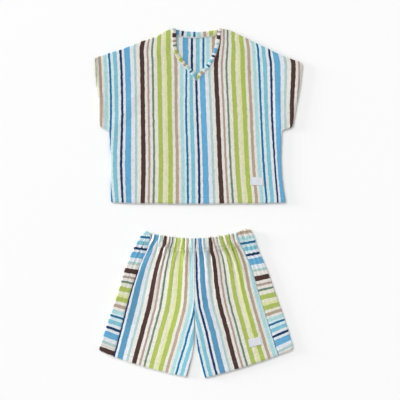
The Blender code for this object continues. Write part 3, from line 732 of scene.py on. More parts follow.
SHOULDER_LEFT = [
    (-312, 435), (-268, 450), (-237, 459), (-177, 483), (-132, 498), (-95, 517), (-72, 523),
]
SHOULDER_RIGHT = [
    (60, 523), (84, 520), (120, 504), (171, 480), (207, 462), (246, 444), (282, 430), (312, 420),
]
SLEEVE_HEM_LEFT = [(-298, 230), (-300.5, 300), (-307, 345), (-312, 435)]
SLEEVE_HEM_RIGHT = [(282, 228), (294, 297), (302, 339), (312, 420)]
SIDE_LEFT = [(-264, 0), (-265.5, 114), (-268.5, 213)]
SIDE_RIGHT = [(261, 0), (250, 70), (246, 140), (249, 216)]
HEM_SAG = 3.5
OPENING_LEFT = [(-7, 384), (-30, 410), (-45, 427), (-59.5, 446), (-67, 470), (-69, 497), (-69.5, 523)]
OPENING_RIGHT = [(-7, 384), (13, 403), (26, 419), (37, 440), (45, 463), (51, 485), (57.5, 523)]
OPENING_BACK = [(-68.2, 520), (-39, 514.5), (-6, 513), (30, 515.5), (56.6, 520)]
BACK_BAND_ENDS = ((-0.03, -1.0), (-0.18, -0.98))
# Soft creases: x1, y1, x2, y2, width, height
TOP_CREASES = [
    (-262, 214, -185, 335, 15, 1.4),
    (-258, 180, -165, 285, 16, -0.8),
    (243, 212, 226, 385, 11, 1.9),
    (236, 165, 206, 335, 15, -0.9),
    (262, 236, 286, 405, 12, 1.1),
    (-284, 246, -290, 410, 12, 0.8),
    (-7, 372, 2, 190, 20, -0.7),
    (-118, 30, -136, 430, 30, 0.7),
    (112, 15, 94, 420, 28, 0.8),
    (-200, -10, -188, 125, 24, -0.7),
    (-62, -10, -50, 160, 26, 0.8),
    (56, -10, 48, 120, 22, -0.7),
    (182, -10, 170, 150, 24, 0.9),
    (-88, 512, -152, 395, 18, 0.9),
    (76, 512, 142, 388, 18, 1.0),
]
# Corners: x, y, the way inward, radius
TOP_CORNERS = [
    (-264, 0, 0.7, 0.7, 5), (261, 0, -0.7, 0.7, 6), (-298, 230, 0.7, 0.7, 4),
    (281, 228, -0.7, 0.7, 6), (-312, 435, 0.7, -0.7, 4), (312, 420, -0.7, -0.7, 9),
]

# How far in from an edge rows and columns lie, and how long the steps between them are
TURN_INSETS = EDGE_TURN * np.array([0, 0.12, 0.36, 0.65, 1])
RAISE_INSETS = (BINDING_WIDTH + 13, BINDING_WIDTH + 1)
NECK_INSETS = np.r_[np.linspace(RAISE_INSETS[0], 5.0, 8), TURN_INSETS[::-1]]
SLEEVE_SHARES = np.r_[1.0, 0.985, 0.96, 0.93, np.linspace(0.89, 0.05, 15)]
V_STATIONS = 44
BACK_STATIONS = 48      # along the back neck
BAND_END_STATIONS = 12  # at each end, over which its way inward turns to BACK_BAND_ENDS
UNDERARM_Y = SIDE_LEFT[-1][1]
FRONT_STEP = 3.1
BACK_STEP = 4.2
BACK_ROWS = 67          # from the underarms to the neck
print("the top is", SIDE_RIGHT[0][0] - SIDE_LEFT[0][0], "mm across the hem")

# %% [markdown]
# ## Heights of the top
#
# Two panels lie on each other, so the front's upper face stands about 7 mm off the table. At sewn
# edges both panels turn in to the seam, at hems the cloth is double, and round the neck both are
# lifted by the bindings folded over their edges.

# %% Top edges and heights


def v_stations(points):
    """Places up one side of the neck opening: even steps from the V's point, then close ones."""
    line = curve(points, 400)
    index = np.arange(len(line))
    heights = line[-1, 1] - NECK_INSETS
    stop = np.interp(heights[0], line[:, 1], index)
    at = np.r_[np.linspace(0, stop, V_STATIONS + 1), np.interp(heights[1:], line[:, 1], index)]
    return np.column_stack([np.interp(at, index, line[:, axis]) for axis in (0, 1)])


def edge_turn(inset):
    """How far the cloth has turned in to a seam, 1 at the edge and 0 inside it."""
    return (1 - np.clip(inset / EDGE_TURN, 0, 1)) ** 2


def turned_share(reach, depth):
    """1 in a hem of this depth, reach being the distance from its fold, and 0 outside it."""
    return 1 - blend(depth - 1, depth + 3, reach)


def stitch_groove(reach, depth):
    """How far a row of stitches at this depth from the edge pulls the cloth down, 0 to 1."""
    return np.exp(-(((reach - depth) / GROOVE_WIDTH) ** 2))


def rim_highlight(hem_reach, seam_reach):
    """The share of painted highlight, in the undyed colour, along a hem's fold and, less, along a sewn
    edge.
    """
    hem = 0.7 * (1 - blend(0.5, 3.2, hem_reach))
    return np.maximum(hem, 0.3 * (1 - blend(0.3, 1.8, seam_reach)))


class Top:
    """The top's edges, and the heights of its two layers over the table."""

    def __init__(self):
        self.shoulders = [curve(SHOULDER_LEFT), curve(SHOULDER_RIGHT)]
        self.sleeve_hems = [curve(SLEEVE_HEM_LEFT), curve(SLEEVE_HEM_RIGHT)]
        self.sides = [curve(SIDE_LEFT), curve(SIDE_RIGHT)]
        self.under_sleeves = [
            np.array([self.sleeve_hems[0][0], self.sides[0][-1]]),
            np.array([self.sides[1][-1], self.sleeve_hems[1][0]]),
        ]
        share = np.linspace(0, 1, 20)
        self.hem = np.column_stack([
            SIDE_LEFT[0][0] + share * (SIDE_RIGHT[0][0] - SIDE_LEFT[0][0]),
            -HEM_SAG * 4 * share * (1 - share),
        ])
        self.openings = [v_stations(OPENING_LEFT), v_stations(OPENING_RIGHT)]
        self.inward = [
            -inward_vectors(self.openings[0], first=(0, 1)),
            inward_vectors(self.openings[1], first=(0, -1)),
        ]
        self.back_opening = curve(OPENING_BACK, BACK_STATIONS)
        self.back_inward = inward_vectors(self.back_opening)
        station = np.arange(BACK_STATIONS)
        for near, away in zip((station, station[::-1]), BACK_BAND_ENDS):
            share = (1 - blend(0, BAND_END_STATIONS, near))[:, None]
            self.back_inward += share * (np.array(away) - self.back_inward)
        self.v_edges = [line + NOSE_RADIUS * inward for line, inward in zip(self.openings, self.inward)]
        self.back_edge = self.back_opening + NOSE_RADIUS * self.back_inward
        self.neck_points = [np.array(SHOULDER_LEFT[-1]), np.array(SHOULDER_RIGHT[0])]

    def seam_inset(self, x, y):
        return distance(x, y, *self.sides, *self.under_sleeves, *self.shoulders)

    def seam_turn(self, x, y):
        """The sewn edges turn in, apart from the shoulders' ends under the neck binding."""
        from_neck = np.minimum(*(np.hypot(x - point[0], y - point[1]) for point in self.neck_points))
        return edge_turn(self.seam_inset(x, y)) * blend(26, 52, from_neck)

    def hem_share(self, x, y):
        body = turned_share(distance(x, y, self.hem), HEM_DEPTH)
        sleeves = turned_share(distance(x, y, *self.sleeve_hems), SLEEVE_HEM_DEPTH)
        return np.maximum(body, sleeves)

    def hem_turn(self, x, y):
        return 1 - blend(0, HEM_TURN, distance(x, y, self.hem, *self.sleeve_hems))

    def grooves(self, x, y):
        """Where rows of stitches pull the hems in."""
        body = stitch_groove(distance(x, y, self.hem), HEM_DEPTH)
        sleeves = stitch_groove(distance(x, y, *self.sleeve_hems), SLEEVE_HEM_DEPTH)
        return np.maximum(body, sleeves)

    def wall(self, x, y):
        clear_of_edge = blend(EDGE_TURN, 3 * EDGE_TURN, self.seam_inset(x, y))
        wall = WALL + (HEM_WALL - WALL) * self.hem_share(x, y) * clear_of_edge
        return wall - HEM_THINNING * self.hem_turn(x, y)

    def back_raise(self, x, y):
        reach = distance(x, y, self.back_opening)
        return BINDING_RAISE * (1 - blend(RAISE_INSETS[1], RAISE_INSETS[0], reach))

    def back_under(self, x, y):
        return self.back_raise(x, y) + EDGE_DROP * self.seam_turn(x, y)

    def front_face(self, x, y):
        edge = np.minimum(self.seam_inset(x, y), distance(x, y, *self.v_edges))
        z = EDGE_FACE + (FACE - EDGE_FACE) * blend(*EDGE_FALL, edge)
        z = z + (HEM_FACE - z) * self.hem_share(x, y)
        z = z + creases(x, y, TOP_CREASES) * blend(2, 20, edge)
        z = z + BINDING_RAISE * (1 - blend(14, 48, distance(x, y, self.back_opening)))
        z = z - STITCH_DIP * self.grooves(x, y)
        turned = self.seam_turn(x, y)
        return z - (z - EDGE_FACE + EDGE_DROP) * turned - HEM_DROP * self.hem_turn(x, y) * (1 - turned)


top = Top()
print("the V is", round(float(top.openings[0][-1][1] - top.openings[0][0][1])), "mm deep")

# %% [markdown]
# ## Rows of the top
#
# The grid has to follow the cut: rows run from side to side below the arms and from sleeve to sleeve
# above them, and from the point of the V up the two middle columns part to run along its edges.
# Close rows and columns lie at the seams, where the cloth turns fastest.

# %% Top grids


def body_rows(across, longest):
    """Rows from the hem to the underarms. Across gives a row's x from its two ends."""
    low = HEM_TURN * np.array([0, 0.15, 0.4, 0.7, 1])
    heights = np.r_[low, steps(low[-1], UNDERARM_Y, longest)[:-1]]
    rows = []
    for height in heights:
        share = height / UNDERARM_Y
        ends = [np.interp(share * side[-1, 1], side[:, 1], side[:, 0]) for side in top.sides]
        x = across(*ends)
        hem_y = np.interp(x, top.hem[:, 0], top.hem[:, 1])
        rows.append((x, hem_y + share * (underarm_y(x) - hem_y)))
    return rows


def underarm_y(x):
    ends = [side[-1] for side in top.sides]
    return np.interp(x, [end[0] for end in ends], [end[1] for end in ends])


def shoulder_y(x):
    shoulder = np.vstack(top.shoulders)
    return np.interp(x, shoulder[:, 0], shoulder[:, 1])


def with_sleeves(x, y):
    """A row of the body, run on across both sleeves."""
    parts = []
    for side, end in ((0, 0), (1, -1)):
        low_side, low_hem = top.sides[side][-1], top.sleeve_hems[side][0]
        rise = (y[end] - low_side[1]) / (shoulder_y(low_side[0]) - low_side[1])
        low = low_side[1] + SLEEVE_SHARES * (low_hem[1] - low_side[1])
        hem = top.sleeve_hems[side]
        high = shoulder_y(low_side[0] + SLEEVE_SHARES * (hem[-1][0] - low_side[0]))
        sleeve_y = low + rise * (high - low)
        sleeve_x = low_side[0] + SLEEVE_SHARES * (np.interp(sleeve_y, hem[:, 1], hem[:, 0]) - low_side[0])
        parts.append((sleeve_x, sleeve_y))
    (left_x, left_y), (right_x, right_y) = parts
    return np.r_[left_x, x, right_x[::-1]], np.r_[left_y, y, right_y[::-1]]


def joined_rows(lower, upper, parted_from=None):
    """Rows joined into a grid, and the cells of it that are cloth."""
    pad = len(SLEEVE_SHARES)
    rows = [(np.pad(x, pad, mode="edge"), np.pad(y, pad, mode="edge")) for x, y in lower]
    rows += [with_sleeves(x, y) for x, y in upper]
    xs, ys = (np.array(part) for part in zip(*rows))
    keep = np.ones((len(rows) - 1, xs.shape[1] - 1), bool)
    keep[: len(lower), :pad] = False
    keep[: len(lower), -pad:] = False
    if parted_from is not None:
        keep[len(lower) + parted_from:, xs.shape[1] // 2 - 1] = False
    return xs, ys, keep


def front_grid():
    """The places of the front's grid, and the cells of it that are cloth."""
    v_x, v_y = top.v_edges[0][0]
    side_x = [side[-1][0] for side in top.sides]
    shares = []
    for x in side_x:
        width = abs(v_x - x)
        shares.append(np.r_[TURN_INSETS, steps(TURN_INSETS[-1], width, FRONT_STEP)] / width)

    def across(left_x, right_x, left_inner=v_x, right_inner=v_x):
        # Both halves have as many columns as the wider one, so that they part in the middle
        left = left_x + shares[0] * (left_inner - left_x)
        right = right_x + shares[1] * (right_inner - right_x)
        return np.r_[left, right[::-1]]

    most = max(len(share) for share in shares)
    for half, x in enumerate(side_x):
        if len(shares[half]) < most:
            width = abs(v_x - x)
            inner = np.linspace(TURN_INSETS[-1], width, most - len(TURN_INSETS) + 1)[1:]
            shares[half] = np.r_[TURN_INSETS, inner] / width
    lower = body_rows(across, FRONT_STEP)
    upper = []
    x = across(*side_x)
    low_y = underarm_y(x)
    rises = np.r_[TURN_INSETS, steps(TURN_INSETS[-1], v_y - UNDERARM_Y, FRONT_STEP)] / (v_y - UNDERARM_Y)
    for rise in rises:
        upper.append((x, low_y + rise * (v_y - low_y)))
    parted_from = len(upper) - 1
    top_x = across(*side_x, top.v_edges[0][-1][0], top.v_edges[1][-1][0])
    top_y = shoulder_y(top_x)
    half = len(shares[0])
    for station in range(1, V_STATIONS + len(NECK_INSETS)):
        ends = [edge[station] for edge in top.v_edges]
        x = across(*side_x, ends[0][0], ends[1][0])
        if station < V_STATIONS:
            rise = (ends[0][1] - v_y) / (top.v_edges[0][V_STATIONS][1] - v_y)
            y = v_y + rise * (top_y - NECK_INSETS[0] - v_y)
        else:
            y = top_y - NECK_INSETS[station - V_STATIONS]
        y[half - 1], y[half] = ends[0][1], ends[1][1]
        upper.append((x, y))
    return joined_rows(lower, upper, parted_from)


def back_grid():
    """The places of the back's grid, and the cells of it that are cloth."""
    neck_x = top.back_edge[:, 0]
    side_x = [side[-1][0] for side in top.sides]
    body = np.r_[
        side_x[0] + TURN_INSETS,
        steps(side_x[0] + TURN_INSETS[-1], neck_x[0], BACK_STEP)[:-1],
        neck_x,
        steps(side_x[1] - TURN_INSETS[-1], neck_x[-1], BACK_STEP)[-2::-1],
        (side_x[1] - TURN_INSETS)[::-1],
    ]
    shares = (body - side_x[0]) / (side_x[1] - side_x[0])
    lower = body_rows(lambda left, right: left + shares * (right - left), BACK_STEP)
    low_y = underarm_y(body)
    on_neck = (body >= neck_x[0]) & (body <= neck_x[-1])
    top_y = np.where(on_neck, np.interp(body, neck_x, top.back_edge[:, 1]), shoulder_y(body))
    span = top_y - low_y - NECK_INSETS[0] - TURN_INSETS[-1]
    upper = [(body, low_y + inset) for inset in TURN_INSETS[:-1]]
    rises = np.linspace(0, 1, BACK_ROWS)[:-1]
    upper += [(body, low_y + TURN_INSETS[-1] + rise * span) for rise in rises]
    upper += [(body, top_y - inset) for inset in NECK_INSETS]
    return joined_rows(lower, upper)


print("row helpers are ready")

# %% [markdown]
# ## Grain of the top
#
# The stripes hang from the shoulders and lean a little where the cloth was smoothed by hand. The
# grain table takes eleven places across the cloth, each within a stripe, and says where it lies at
# six heights. A point's place across the cloth is read between them. The back is the same cloth
# face down, so its stripes run in the other order.

# %% Top grain
GRAIN_HEIGHTS = (9, 114, 279, 411, 459, 489)
# Place across the cloth, then the x where it lies at each height
GRAIN = [
    (-322, (-264, -272, -265.5, -269, -273.6, -276)),
    (-226, (-170.4, -168, -170.1, -171.9, -173.4, -167.4)),
    (-145.5, (-87.9, -87, -90, -92.1, -94.5, -94.8)),
    (-97, (-35.1, -36, -40.5, -39, -40.5, -40.2)),
    (-63, (-0.9, -1.8, -7.5, -11, -11.5, -11.5)),
    (0, (67.5, 62.1, 55.5, 50.1, 55.5, 59.7)),
    (79, (150.6, 141.6, 134.4, 128.4, 128, 123.3)),
    (129, (201.6, 192.6, 184.5, 178.8, 175.5, 171)),
    (160, (233, 224.7, 214.8, 212, 206, 203)),
    (181, (250, 240, 235, 232.5, 225, 222)),
    (222, (288, 280.5, 274.5, 279.5, 270, 266)),
]
SLEEVE_REACH = 60.0     # the table is run on this far past its ends, with no stretch


def grain_across(x, y):
    """The place across the cloth at each point of the top's front."""
    places = np.array([place for place, _ in GRAIN])
    height = np.clip(y.ravel(), GRAIN_HEIGHTS[0], GRAIN_HEIGHTS[-1])
    lines = np.column_stack([
        through(GRAIN_HEIGHTS, np.array(xs)[:, None], height)[:, 0] for _, xs in GRAIN
    ])
    places = np.r_[places[0] - SLEEVE_REACH, places, places[-1] + SLEEVE_REACH]
    lines = np.column_stack([lines[:, 0] - SLEEVE_REACH, lines, lines[:, -1] + SLEEVE_REACH])
    across = [np.interp(at, line, places) for at, line in zip(x.ravel(), lines)]
    return np.reshape(across, x.shape)


print("stripes come back every", REPEAT, "mm")

# %% [markdown]
# ## Front and back of the top
#
# With the grid, heights and grain in hand, each panel is a few lines. The front also says where its
# hems and right side seam get a painted highlight in the undyed colour, and where painted shade lies
# along the stitches and on the left sleeve's hem fold.

# %% Make the top's panels


def make_top_front():
    x, y, keep = front_grid()
    points = np.dstack([*rounded(x, y, TOP_CORNERS), top.front_face(x, y)])
    # Painted highlight, in the undyed colour, along the hems and the right side seam
    rim = rim_highlight(distance(x, y, top.hem, top.sleeve_hems[1]), distance(x, y, top.sides[1]))
    # Painted shade on the fold of the left sleeve's hem, which faces the light, and more towards its upper
    # end
    from_hem = distance(x, y, top.sleeve_hems[0])
    folded = 0.8 * (1 - blend(0, HEM_TURN + 2, from_hem))
    folded += 1.5 * (1 - blend(3, 13, from_hem)) * blend(335, 390, y)
    # Painted shade along the rows of stitches and on the left sleeve's hem fold
    marks = {"plain": rim, "pressed": 0.5 * top.grooves(x, y) + folded}
    cloth = np.dstack([grain_across(x, y), y])
    piece = cloth_piece(
        "cloth_top_front", points, top.wall(x, y), cloth, plain_cloth, keep=keep, marks=marks, seed=1
    )
    declare(piece, "top_front", points, keep)


def make_top_back():
    x, y, keep = back_grid()
    points = np.dstack([*rounded(x, y, TOP_CORNERS), top.back_under(x, y)])
    cloth = np.dstack([142.9 - 0.98 * x, y])
    piece = cloth_piece(
        "cloth_top_back", points, top.wall(x, y), cloth, plain_cloth, facing_up=False, keep=keep, seed=2
    )
    declare(piece, "top_back", points, keep)


make_top_front()
make_top_back()

# %% [markdown]
# ## Neck bindings
#
# One strip of the same towelling is cut across its stripes and folded over the neck edge, so it
# shows short blocks of colour. It is mitred at the V's point. The strip's outer edge is pressed thin
# by a row of white stitches and shows no dye, which draws the fine pale line round the neck. The
# back band is the same strip, a little wider, and its ends lie in the shade under the front's.

# %% Make the bindings
BINDING_CROWN = 0.7
BINDING_SHOWS = BINDING_WIDTH + 1.0     # with the bare edge outside the stitches
BACK_BAND_SHOWS = BACK_BAND_WIDTH + 1.0
BINDING_EASE = 1.076                    # cloth to 1 mm of neck edge
EDGE_REACH = 2.5                        # how far in the stitches press the strip
EDGE_SINK = 1.1
EDGE_THINNING = 0.9
NOSE_ANGLES = np.radians([75, 50, 25])


def binding_piece(node, line, inward, width, bare, heights, lengths, shaded, seed):
    """A strip folded over a panel's edge. Heights gives the panel's upper face and underside.

    Bare is how much of its outer edge is undyed. Lengths is the place along the strip's stripes at
    each point of the line, and shaded says where the strip is tucked under another.
    """
    insets = np.r_[np.linspace(width, NOSE_RADIUS, 10), NOSE_RADIUS * (1 - np.cos(NOSE_ANGLES))]
    columns, marks, across, walls = [], [], [], []
    edge_x, edge_y = (line + NOSE_RADIUS * inward).T
    above, beneath = heights(edge_x, edge_y)
    for inset in insets:
        x, y = (line + inset * inward).T
        crown = BINDING_CROWN * math.sin(math.pi * min(1, (width - inset) / (width - NOSE_RADIUS)))
        held = 1 - blend(0, EDGE_REACH, width - inset)
        if inset >= NOSE_RADIUS:
            z = heights(x, y)[0] + BINDING_RAISE + crown - EDGE_SINK * held
        else:
            z = (above + beneath) / 2 + NOSE_RADIUS * math.sin(math.acos(1 - inset / NOSE_RADIUS))
        columns.append(np.column_stack([x, y, z]))
        across.append(width - inset)
        marks.append(float(blend(0.4 * bare, 1.2 * bare, width - inset)))
        walls.append(BINDING_WALL - EDGE_THINNING * held)
    for turn in (0.0, *-NOSE_ANGLES[::-1]):
        x, y = (line + NOSE_RADIUS * (1 - math.cos(turn)) * inward).T
        columns.append(np.column_stack([x, y, (above + beneath) / 2 + NOSE_RADIUS * math.sin(turn)]))
        across.append(width - turn * NOSE_RADIUS)
        marks.append(1.0)
    for inset in np.linspace(NOSE_RADIUS, BINDING_WIDTH, 4):
        x, y = (line + inset * inward).T
        columns.append(np.column_stack([x, y, heights(x, y)[1] - BINDING_RAISE]))
        across.append(width + NOSE_RADIUS + inset)
        marks.append(1.0)
    points = np.stack(columns, axis=1)
    shape = points.shape[:2]
    cloth = np.dstack([np.repeat(lengths[:, None], shape[1], 1), np.tile(across, (shape[0], 1))])
    plain = np.tile(1 - np.array(marks), (shape[0], 1))
    walls = np.tile(walls + [BINDING_WALL] * (shape[1] - len(walls)), (shape[0], 1))
    piece = cloth_piece(
        "cloth_" + node, points, walls, cloth, bound_cloth,
        marks={"plain": plain, "pressed": np.repeat(shaded[:, None], shape[1], 1)}, seed=seed,
    )
    declare(piece, node, points)
    return points


def front_heights(x, y):
    face = top.front_face(x, y)
    return face, face - WALL


def back_heights(x, y):
    under = top.back_raise(x, y)
    return under + WALL, under


binding_points = {}
for side, node, place, way in (
    (0, "neck_binding_front_left", 150.0, -1),
    (1, "neck_binding_front_right", -366.0, 1),
):
    line = top.openings[side].copy()
    line[0, 0] += MITRE_GAP * (-1, 1)[side]
    lengths = place + way * BINDING_EASE * arc_lengths(line)
    binding_points[node] = binding_piece(
        node, line, top.inward[side], BINDING_SHOWS, 0.9, front_heights, lengths, 0 * lengths, 3 + side
    )
back_x = top.back_opening[:, 0]
under_front = 1.3 * (1 - blend(-68, -50, back_x)) + 0.8 * blend(46, 57, back_x)
binding_points["neck_binding_back"] = binding_piece(
    "neck_binding_back", top.back_opening, top.back_inward, BACK_BAND_SHOWS, 3.8, back_heights,
    -108.1 - 0.97 * back_x, under_front, 5,
)

# %% [markdown]
# ## The shorts' measures
#
# Each leg has a front, a back and a strip down the side that is folded round the outer edge. One
# table holds a row for each level from the hem up: where the strip's fold, the seam and the inner
# edge lie, how far the level sags on the panel and how far it rises on the strip. The waist is a
# casing over an elastic, which gathers it. Long soft creases run down the legs, and short sharp ones
# fan out below the casing.

# %% Shorts measures
BAND_WALL = 3.6
BAND_FACE = 9.9
BAND_DEPTH = 33.0
BAND_FALL = 16
CASING_DIP = 1.1        # at the stitched line
WAIST_ROLL = 2.2        # how far the top edge rolls down, over the next 4 mm
WAIST_ROLL_WIDTH = 4.0
SEAM_DIP = 1.0
SEAM_DIP_WIDTH = 3.4
SHORTS_CREASES = [
    (-120, -170, -165, -330, 15, 0.9),
    (-52, -160, -60, -330, 14, -0.7),
    (-200, -250, -232, -420, 16, 0.8),
    (-40, -300, -78, -500, 18, 0.8),
    (18, -160, 12, -330, 15, 0.8),
    (70, -165, 110, -350, 16, -0.7),
    (120, -170, 172, -400, 17, 0.9),
    (20, -310, 60, -500, 18, 0.8),
    (-86, -126, -116, -182, 5, -1.3),
    (-96, -128, -124, -178, 6, 1.0),
    (-122, -122, -148, -172, 6, -1.1),
    (-66, -128, -84, -208, 6, -1.0),
    (-40, -134, -46, -200, 7, 1.0),
    (12, -136, 6, -190, 6, -1.1),
    (38, -134, 58, -196, 6, 0.7),
    (62, -130, 92, -186, 5, -1.2),
    (96, -124, 130, -184, 6, 1.0),
    (118, -130, 146, -190, 6, -0.9),
]
SHORTS_CORNERS = [
    (-301, -442, 0.8, 0.6, 6), (-37, -522, -0.6, 0.8, 5), (16.5, -526, 0.7, 0.7, 5),
    (285, -440, -0.8, 0.6, 12), (158, -83, -0.4, -0.9, 5), (-161, -82, 0.4, -0.9, 5),
]
OUTER_X, OUTER_Y, SEAM_X, SEAM_Y, INNER_X, INNER_Y, SAG, RISE = range(8)
LEFT_LEG = {
    "hem": (-301, -442, -257, -462, -37, -522, 5, 0),
    "thigh": (-279, -372, -236, -384, -15.8, -420, 3, 0),
    "crotch": (-244, -269, -209, -279, -13.15, -306, 3, 0),
    "hip": (-221, -195, -184, -203, -13.15, -219, 3, 0),
    "band": (-181, -108, -151, -125, -13.15, -139, 3, 0),
    "waist": (-161, -82, -144, -92, -13.15, -106, 3, 0),
}
RIGHT_LEG = {
    "hem": (285, -440, 239, -457, 16.5, -526, 4, 0),
    "thigh": (264, -369, 214, -380, -7, -420, 3, 0),
    "crotch": (229, -269, 182, -279, -12.85, -306, 3, 0),
    "hip": (200, -188, 158, -197, -12.85, -219, 3, 0),
    "pucker": (181, -146, 139, -151, -12.85, -168, 3, 4),
    "band": (171, -117, 123, -121, -12.85, -139, 3, 6),
    "waist": (158, -83, 113, -89, -12.85, -106, 3, 9),
}
CROTCH_Y = -306
CROTCH_TURN = 24
FRONT_GATHERS = 12
SIDE_GATHERS = 3
GATHER_HEIGHT = 2.1
SECOND_HEIGHT = 0.65
GATHER_WIDTH = 13.0
GATHER_FADE = 30.0
GATHER_TUCK = 5.2
FOLD_HEIGHT = 2.3
FOLD_FADE = 85.0
RUFFLE = 0.9            # how far a gather's height moves the casing's top edge
LEG_STEP = 2.1
print("each leg's front has", FRONT_GATHERS, "gathers")

# %% [markdown]
# ## Heights of the shorts
#
# The gathers are waves across the casing, held flat by the stitched line below it. They run out in
# short puckers, and every other one lets go a longer fold down the leg. Slow drifts in the wave
# keep any two from being alike.

# %% Shorts edges and heights


class Shorts:
    """The shorts' seams and edges, and the heights of their layers over the table."""

    def __init__(self):
        self.legs = [np.array(list(leg.values()), float) for leg in (LEFT_LEG, RIGHT_LEG)]
        self.heights = [arc_lengths(leg[:, [SEAM_X, SEAM_Y]]) for leg in self.legs]
        self.seams, self.outer, self.inner, self.centre, self.hems, self.waists = [], [], [], [], [], []
        share = np.linspace(0, 1, 24)
        for leg in (0, 1):
            up = np.linspace(0, self.heights[leg][-1], 90)
            level = self.level(leg, up)
            self.outer.append(level[:, [OUTER_X, OUTER_Y]])
            self.seams.append(level[:, [SEAM_X, SEAM_Y]])
            inner = level[:, [INNER_X, INNER_Y]]
            below = inner[:, 1] < CROTCH_Y
            self.inner.append(inner[below])
            self.centre.append(inner[~below])
            for lines, at in ((self.hems, up[:1]), (self.waists, up[-1:])):
                strip = self.across_strip(leg, at, share[None, :])
                panel = self.across_panel(leg, at, share[None, :])
                lines.append(np.vstack([np.dstack(strip)[0], np.dstack(panel)[0, 1:]]))

    def level(self, leg, up):
        """The leg's table read at heights up its seam."""
        return through(self.heights[leg], self.legs[leg], up)

    def across_panel(self, leg, up, share):
        """Places across a front or back at each height, from the side seam to the inner edge."""
        row = self.level(leg, up)[:, :, None]
        x = row[:, SEAM_X] + share * (row[:, INNER_X] - row[:, SEAM_X])
        y = row[:, SEAM_Y] + share * (row[:, INNER_Y] - row[:, SEAM_Y])
        y -= row[:, SAG] * 4 * share * (1 - share)
        return x, y

    def across_strip(self, leg, up, share):
        """Places across the side strip at each height, from its fold to the side seam."""
        row = self.level(leg, up)[:, :, None]
        x = row[:, OUTER_X] + share * (row[:, SEAM_X] - row[:, OUTER_X])
        y = row[:, OUTER_Y] + share * (row[:, SEAM_Y] - row[:, OUTER_Y])
        y += row[:, RISE] * 4 * share * (1 - share)
        return x, y

    def width(self, leg, up, start_x, end_x):
        """From one edge to another at each height, both given by the table's column of their x."""
        start, end = (self.level(leg, up)[:, [column, column + 1]] for column in (start_x, end_x))
        return np.hypot(*(end - start).T)

    def rows(self, leg):
        """Heights up the seam for a piece's rows, close together at the hem."""
        top_height = self.heights[leg][-1]
        low = HEM_TURN * np.array([0, 0.15, 0.4, 0.7, 1])
        return np.r_[low, steps(low[-1], top_height, LEG_STEP)]

    def casing_share(self, x, y):
        return 1 - blend(BAND_DEPTH - 3, BAND_DEPTH + 6, distance(x, y, *self.waists))

    def hem_turn(self, x, y):
        return 1 - blend(0, HEM_TURN, distance(x, y, *self.hems))

    def grooves(self, x, y):
        return stitch_groove(distance(x, y, *self.hems), HEM_DEPTH)

    def pressed(self, x, y, lift=0.0):
        """Painted shade: at seams, at rows of stitches and in the troughs between gathers."""
        seam = stitch_groove(distance(x, y, *self.seams, *self.centre), 0)
        casing = stitch_groove(distance(x, y, *self.waists), BAND_DEPTH)
        rows = 0.7 * np.maximum(self.grooves(x, y), casing)
        return np.maximum(np.maximum(seam, rows), blend(-0.6, -2.6, lift))

    def wall(self, x, y):
        hem = turned_share(distance(x, y, *self.hems), HEM_DEPTH)
        clear_of_edge = blend(EDGE_TURN, 3 * EDGE_TURN, distance(x, y, *self.inner, *self.outer))
        thicker = (HEM_WALL - WALL) * hem + (BAND_WALL - WALL) * self.casing_share(x, y)
        return WALL + thicker * clear_of_edge - HEM_THINNING * self.hem_turn(x, y)

    def inside_leg_turn(self, x, y):
        """Below the crotch the inside leg's edges turn in."""
        return edge_turn(distance(x, y, *self.inner)) * blend(0, CROTCH_TURN, CROTCH_Y - y)

    def front_face(self, x, y, gathers=0.0):
        """Gathers is the height that the gathers add."""
        edge = distance(x, y, *self.inner, *self.outer)
        z = EDGE_FACE + (FACE - EDGE_FACE) * blend(*EDGE_FALL, edge)
        z = z + (HEM_FACE - z) * turned_share(distance(x, y, *self.hems), HEM_DEPTH)
        from_waist = distance(x, y, *self.waists)
        z = z + (BAND_FACE - z) * (1 - blend(BAND_DEPTH, BAND_DEPTH + BAND_FALL, from_waist))
        z = z + creases(x, y, SHORTS_CREASES) * blend(2, 20, edge) + gathers
        z = z - CASING_DIP * stitch_groove(from_waist, BAND_DEPTH) - STITCH_DIP * self.grooves(x, y)
        z = z - WAIST_ROLL * (1 - blend(0, WAIST_ROLL_WIDTH, from_waist)) ** 2
        seam = distance(x, y, *self.seams, *self.centre)
        z = z - SEAM_DIP * np.exp(-((seam / SEAM_DIP_WIDTH) ** 2))
        turned = self.inside_leg_turn(x, y)
        return z - (z - EDGE_FACE + EDGE_DROP) * turned - HEM_DROP * self.hem_turn(x, y) * (1 - turned)


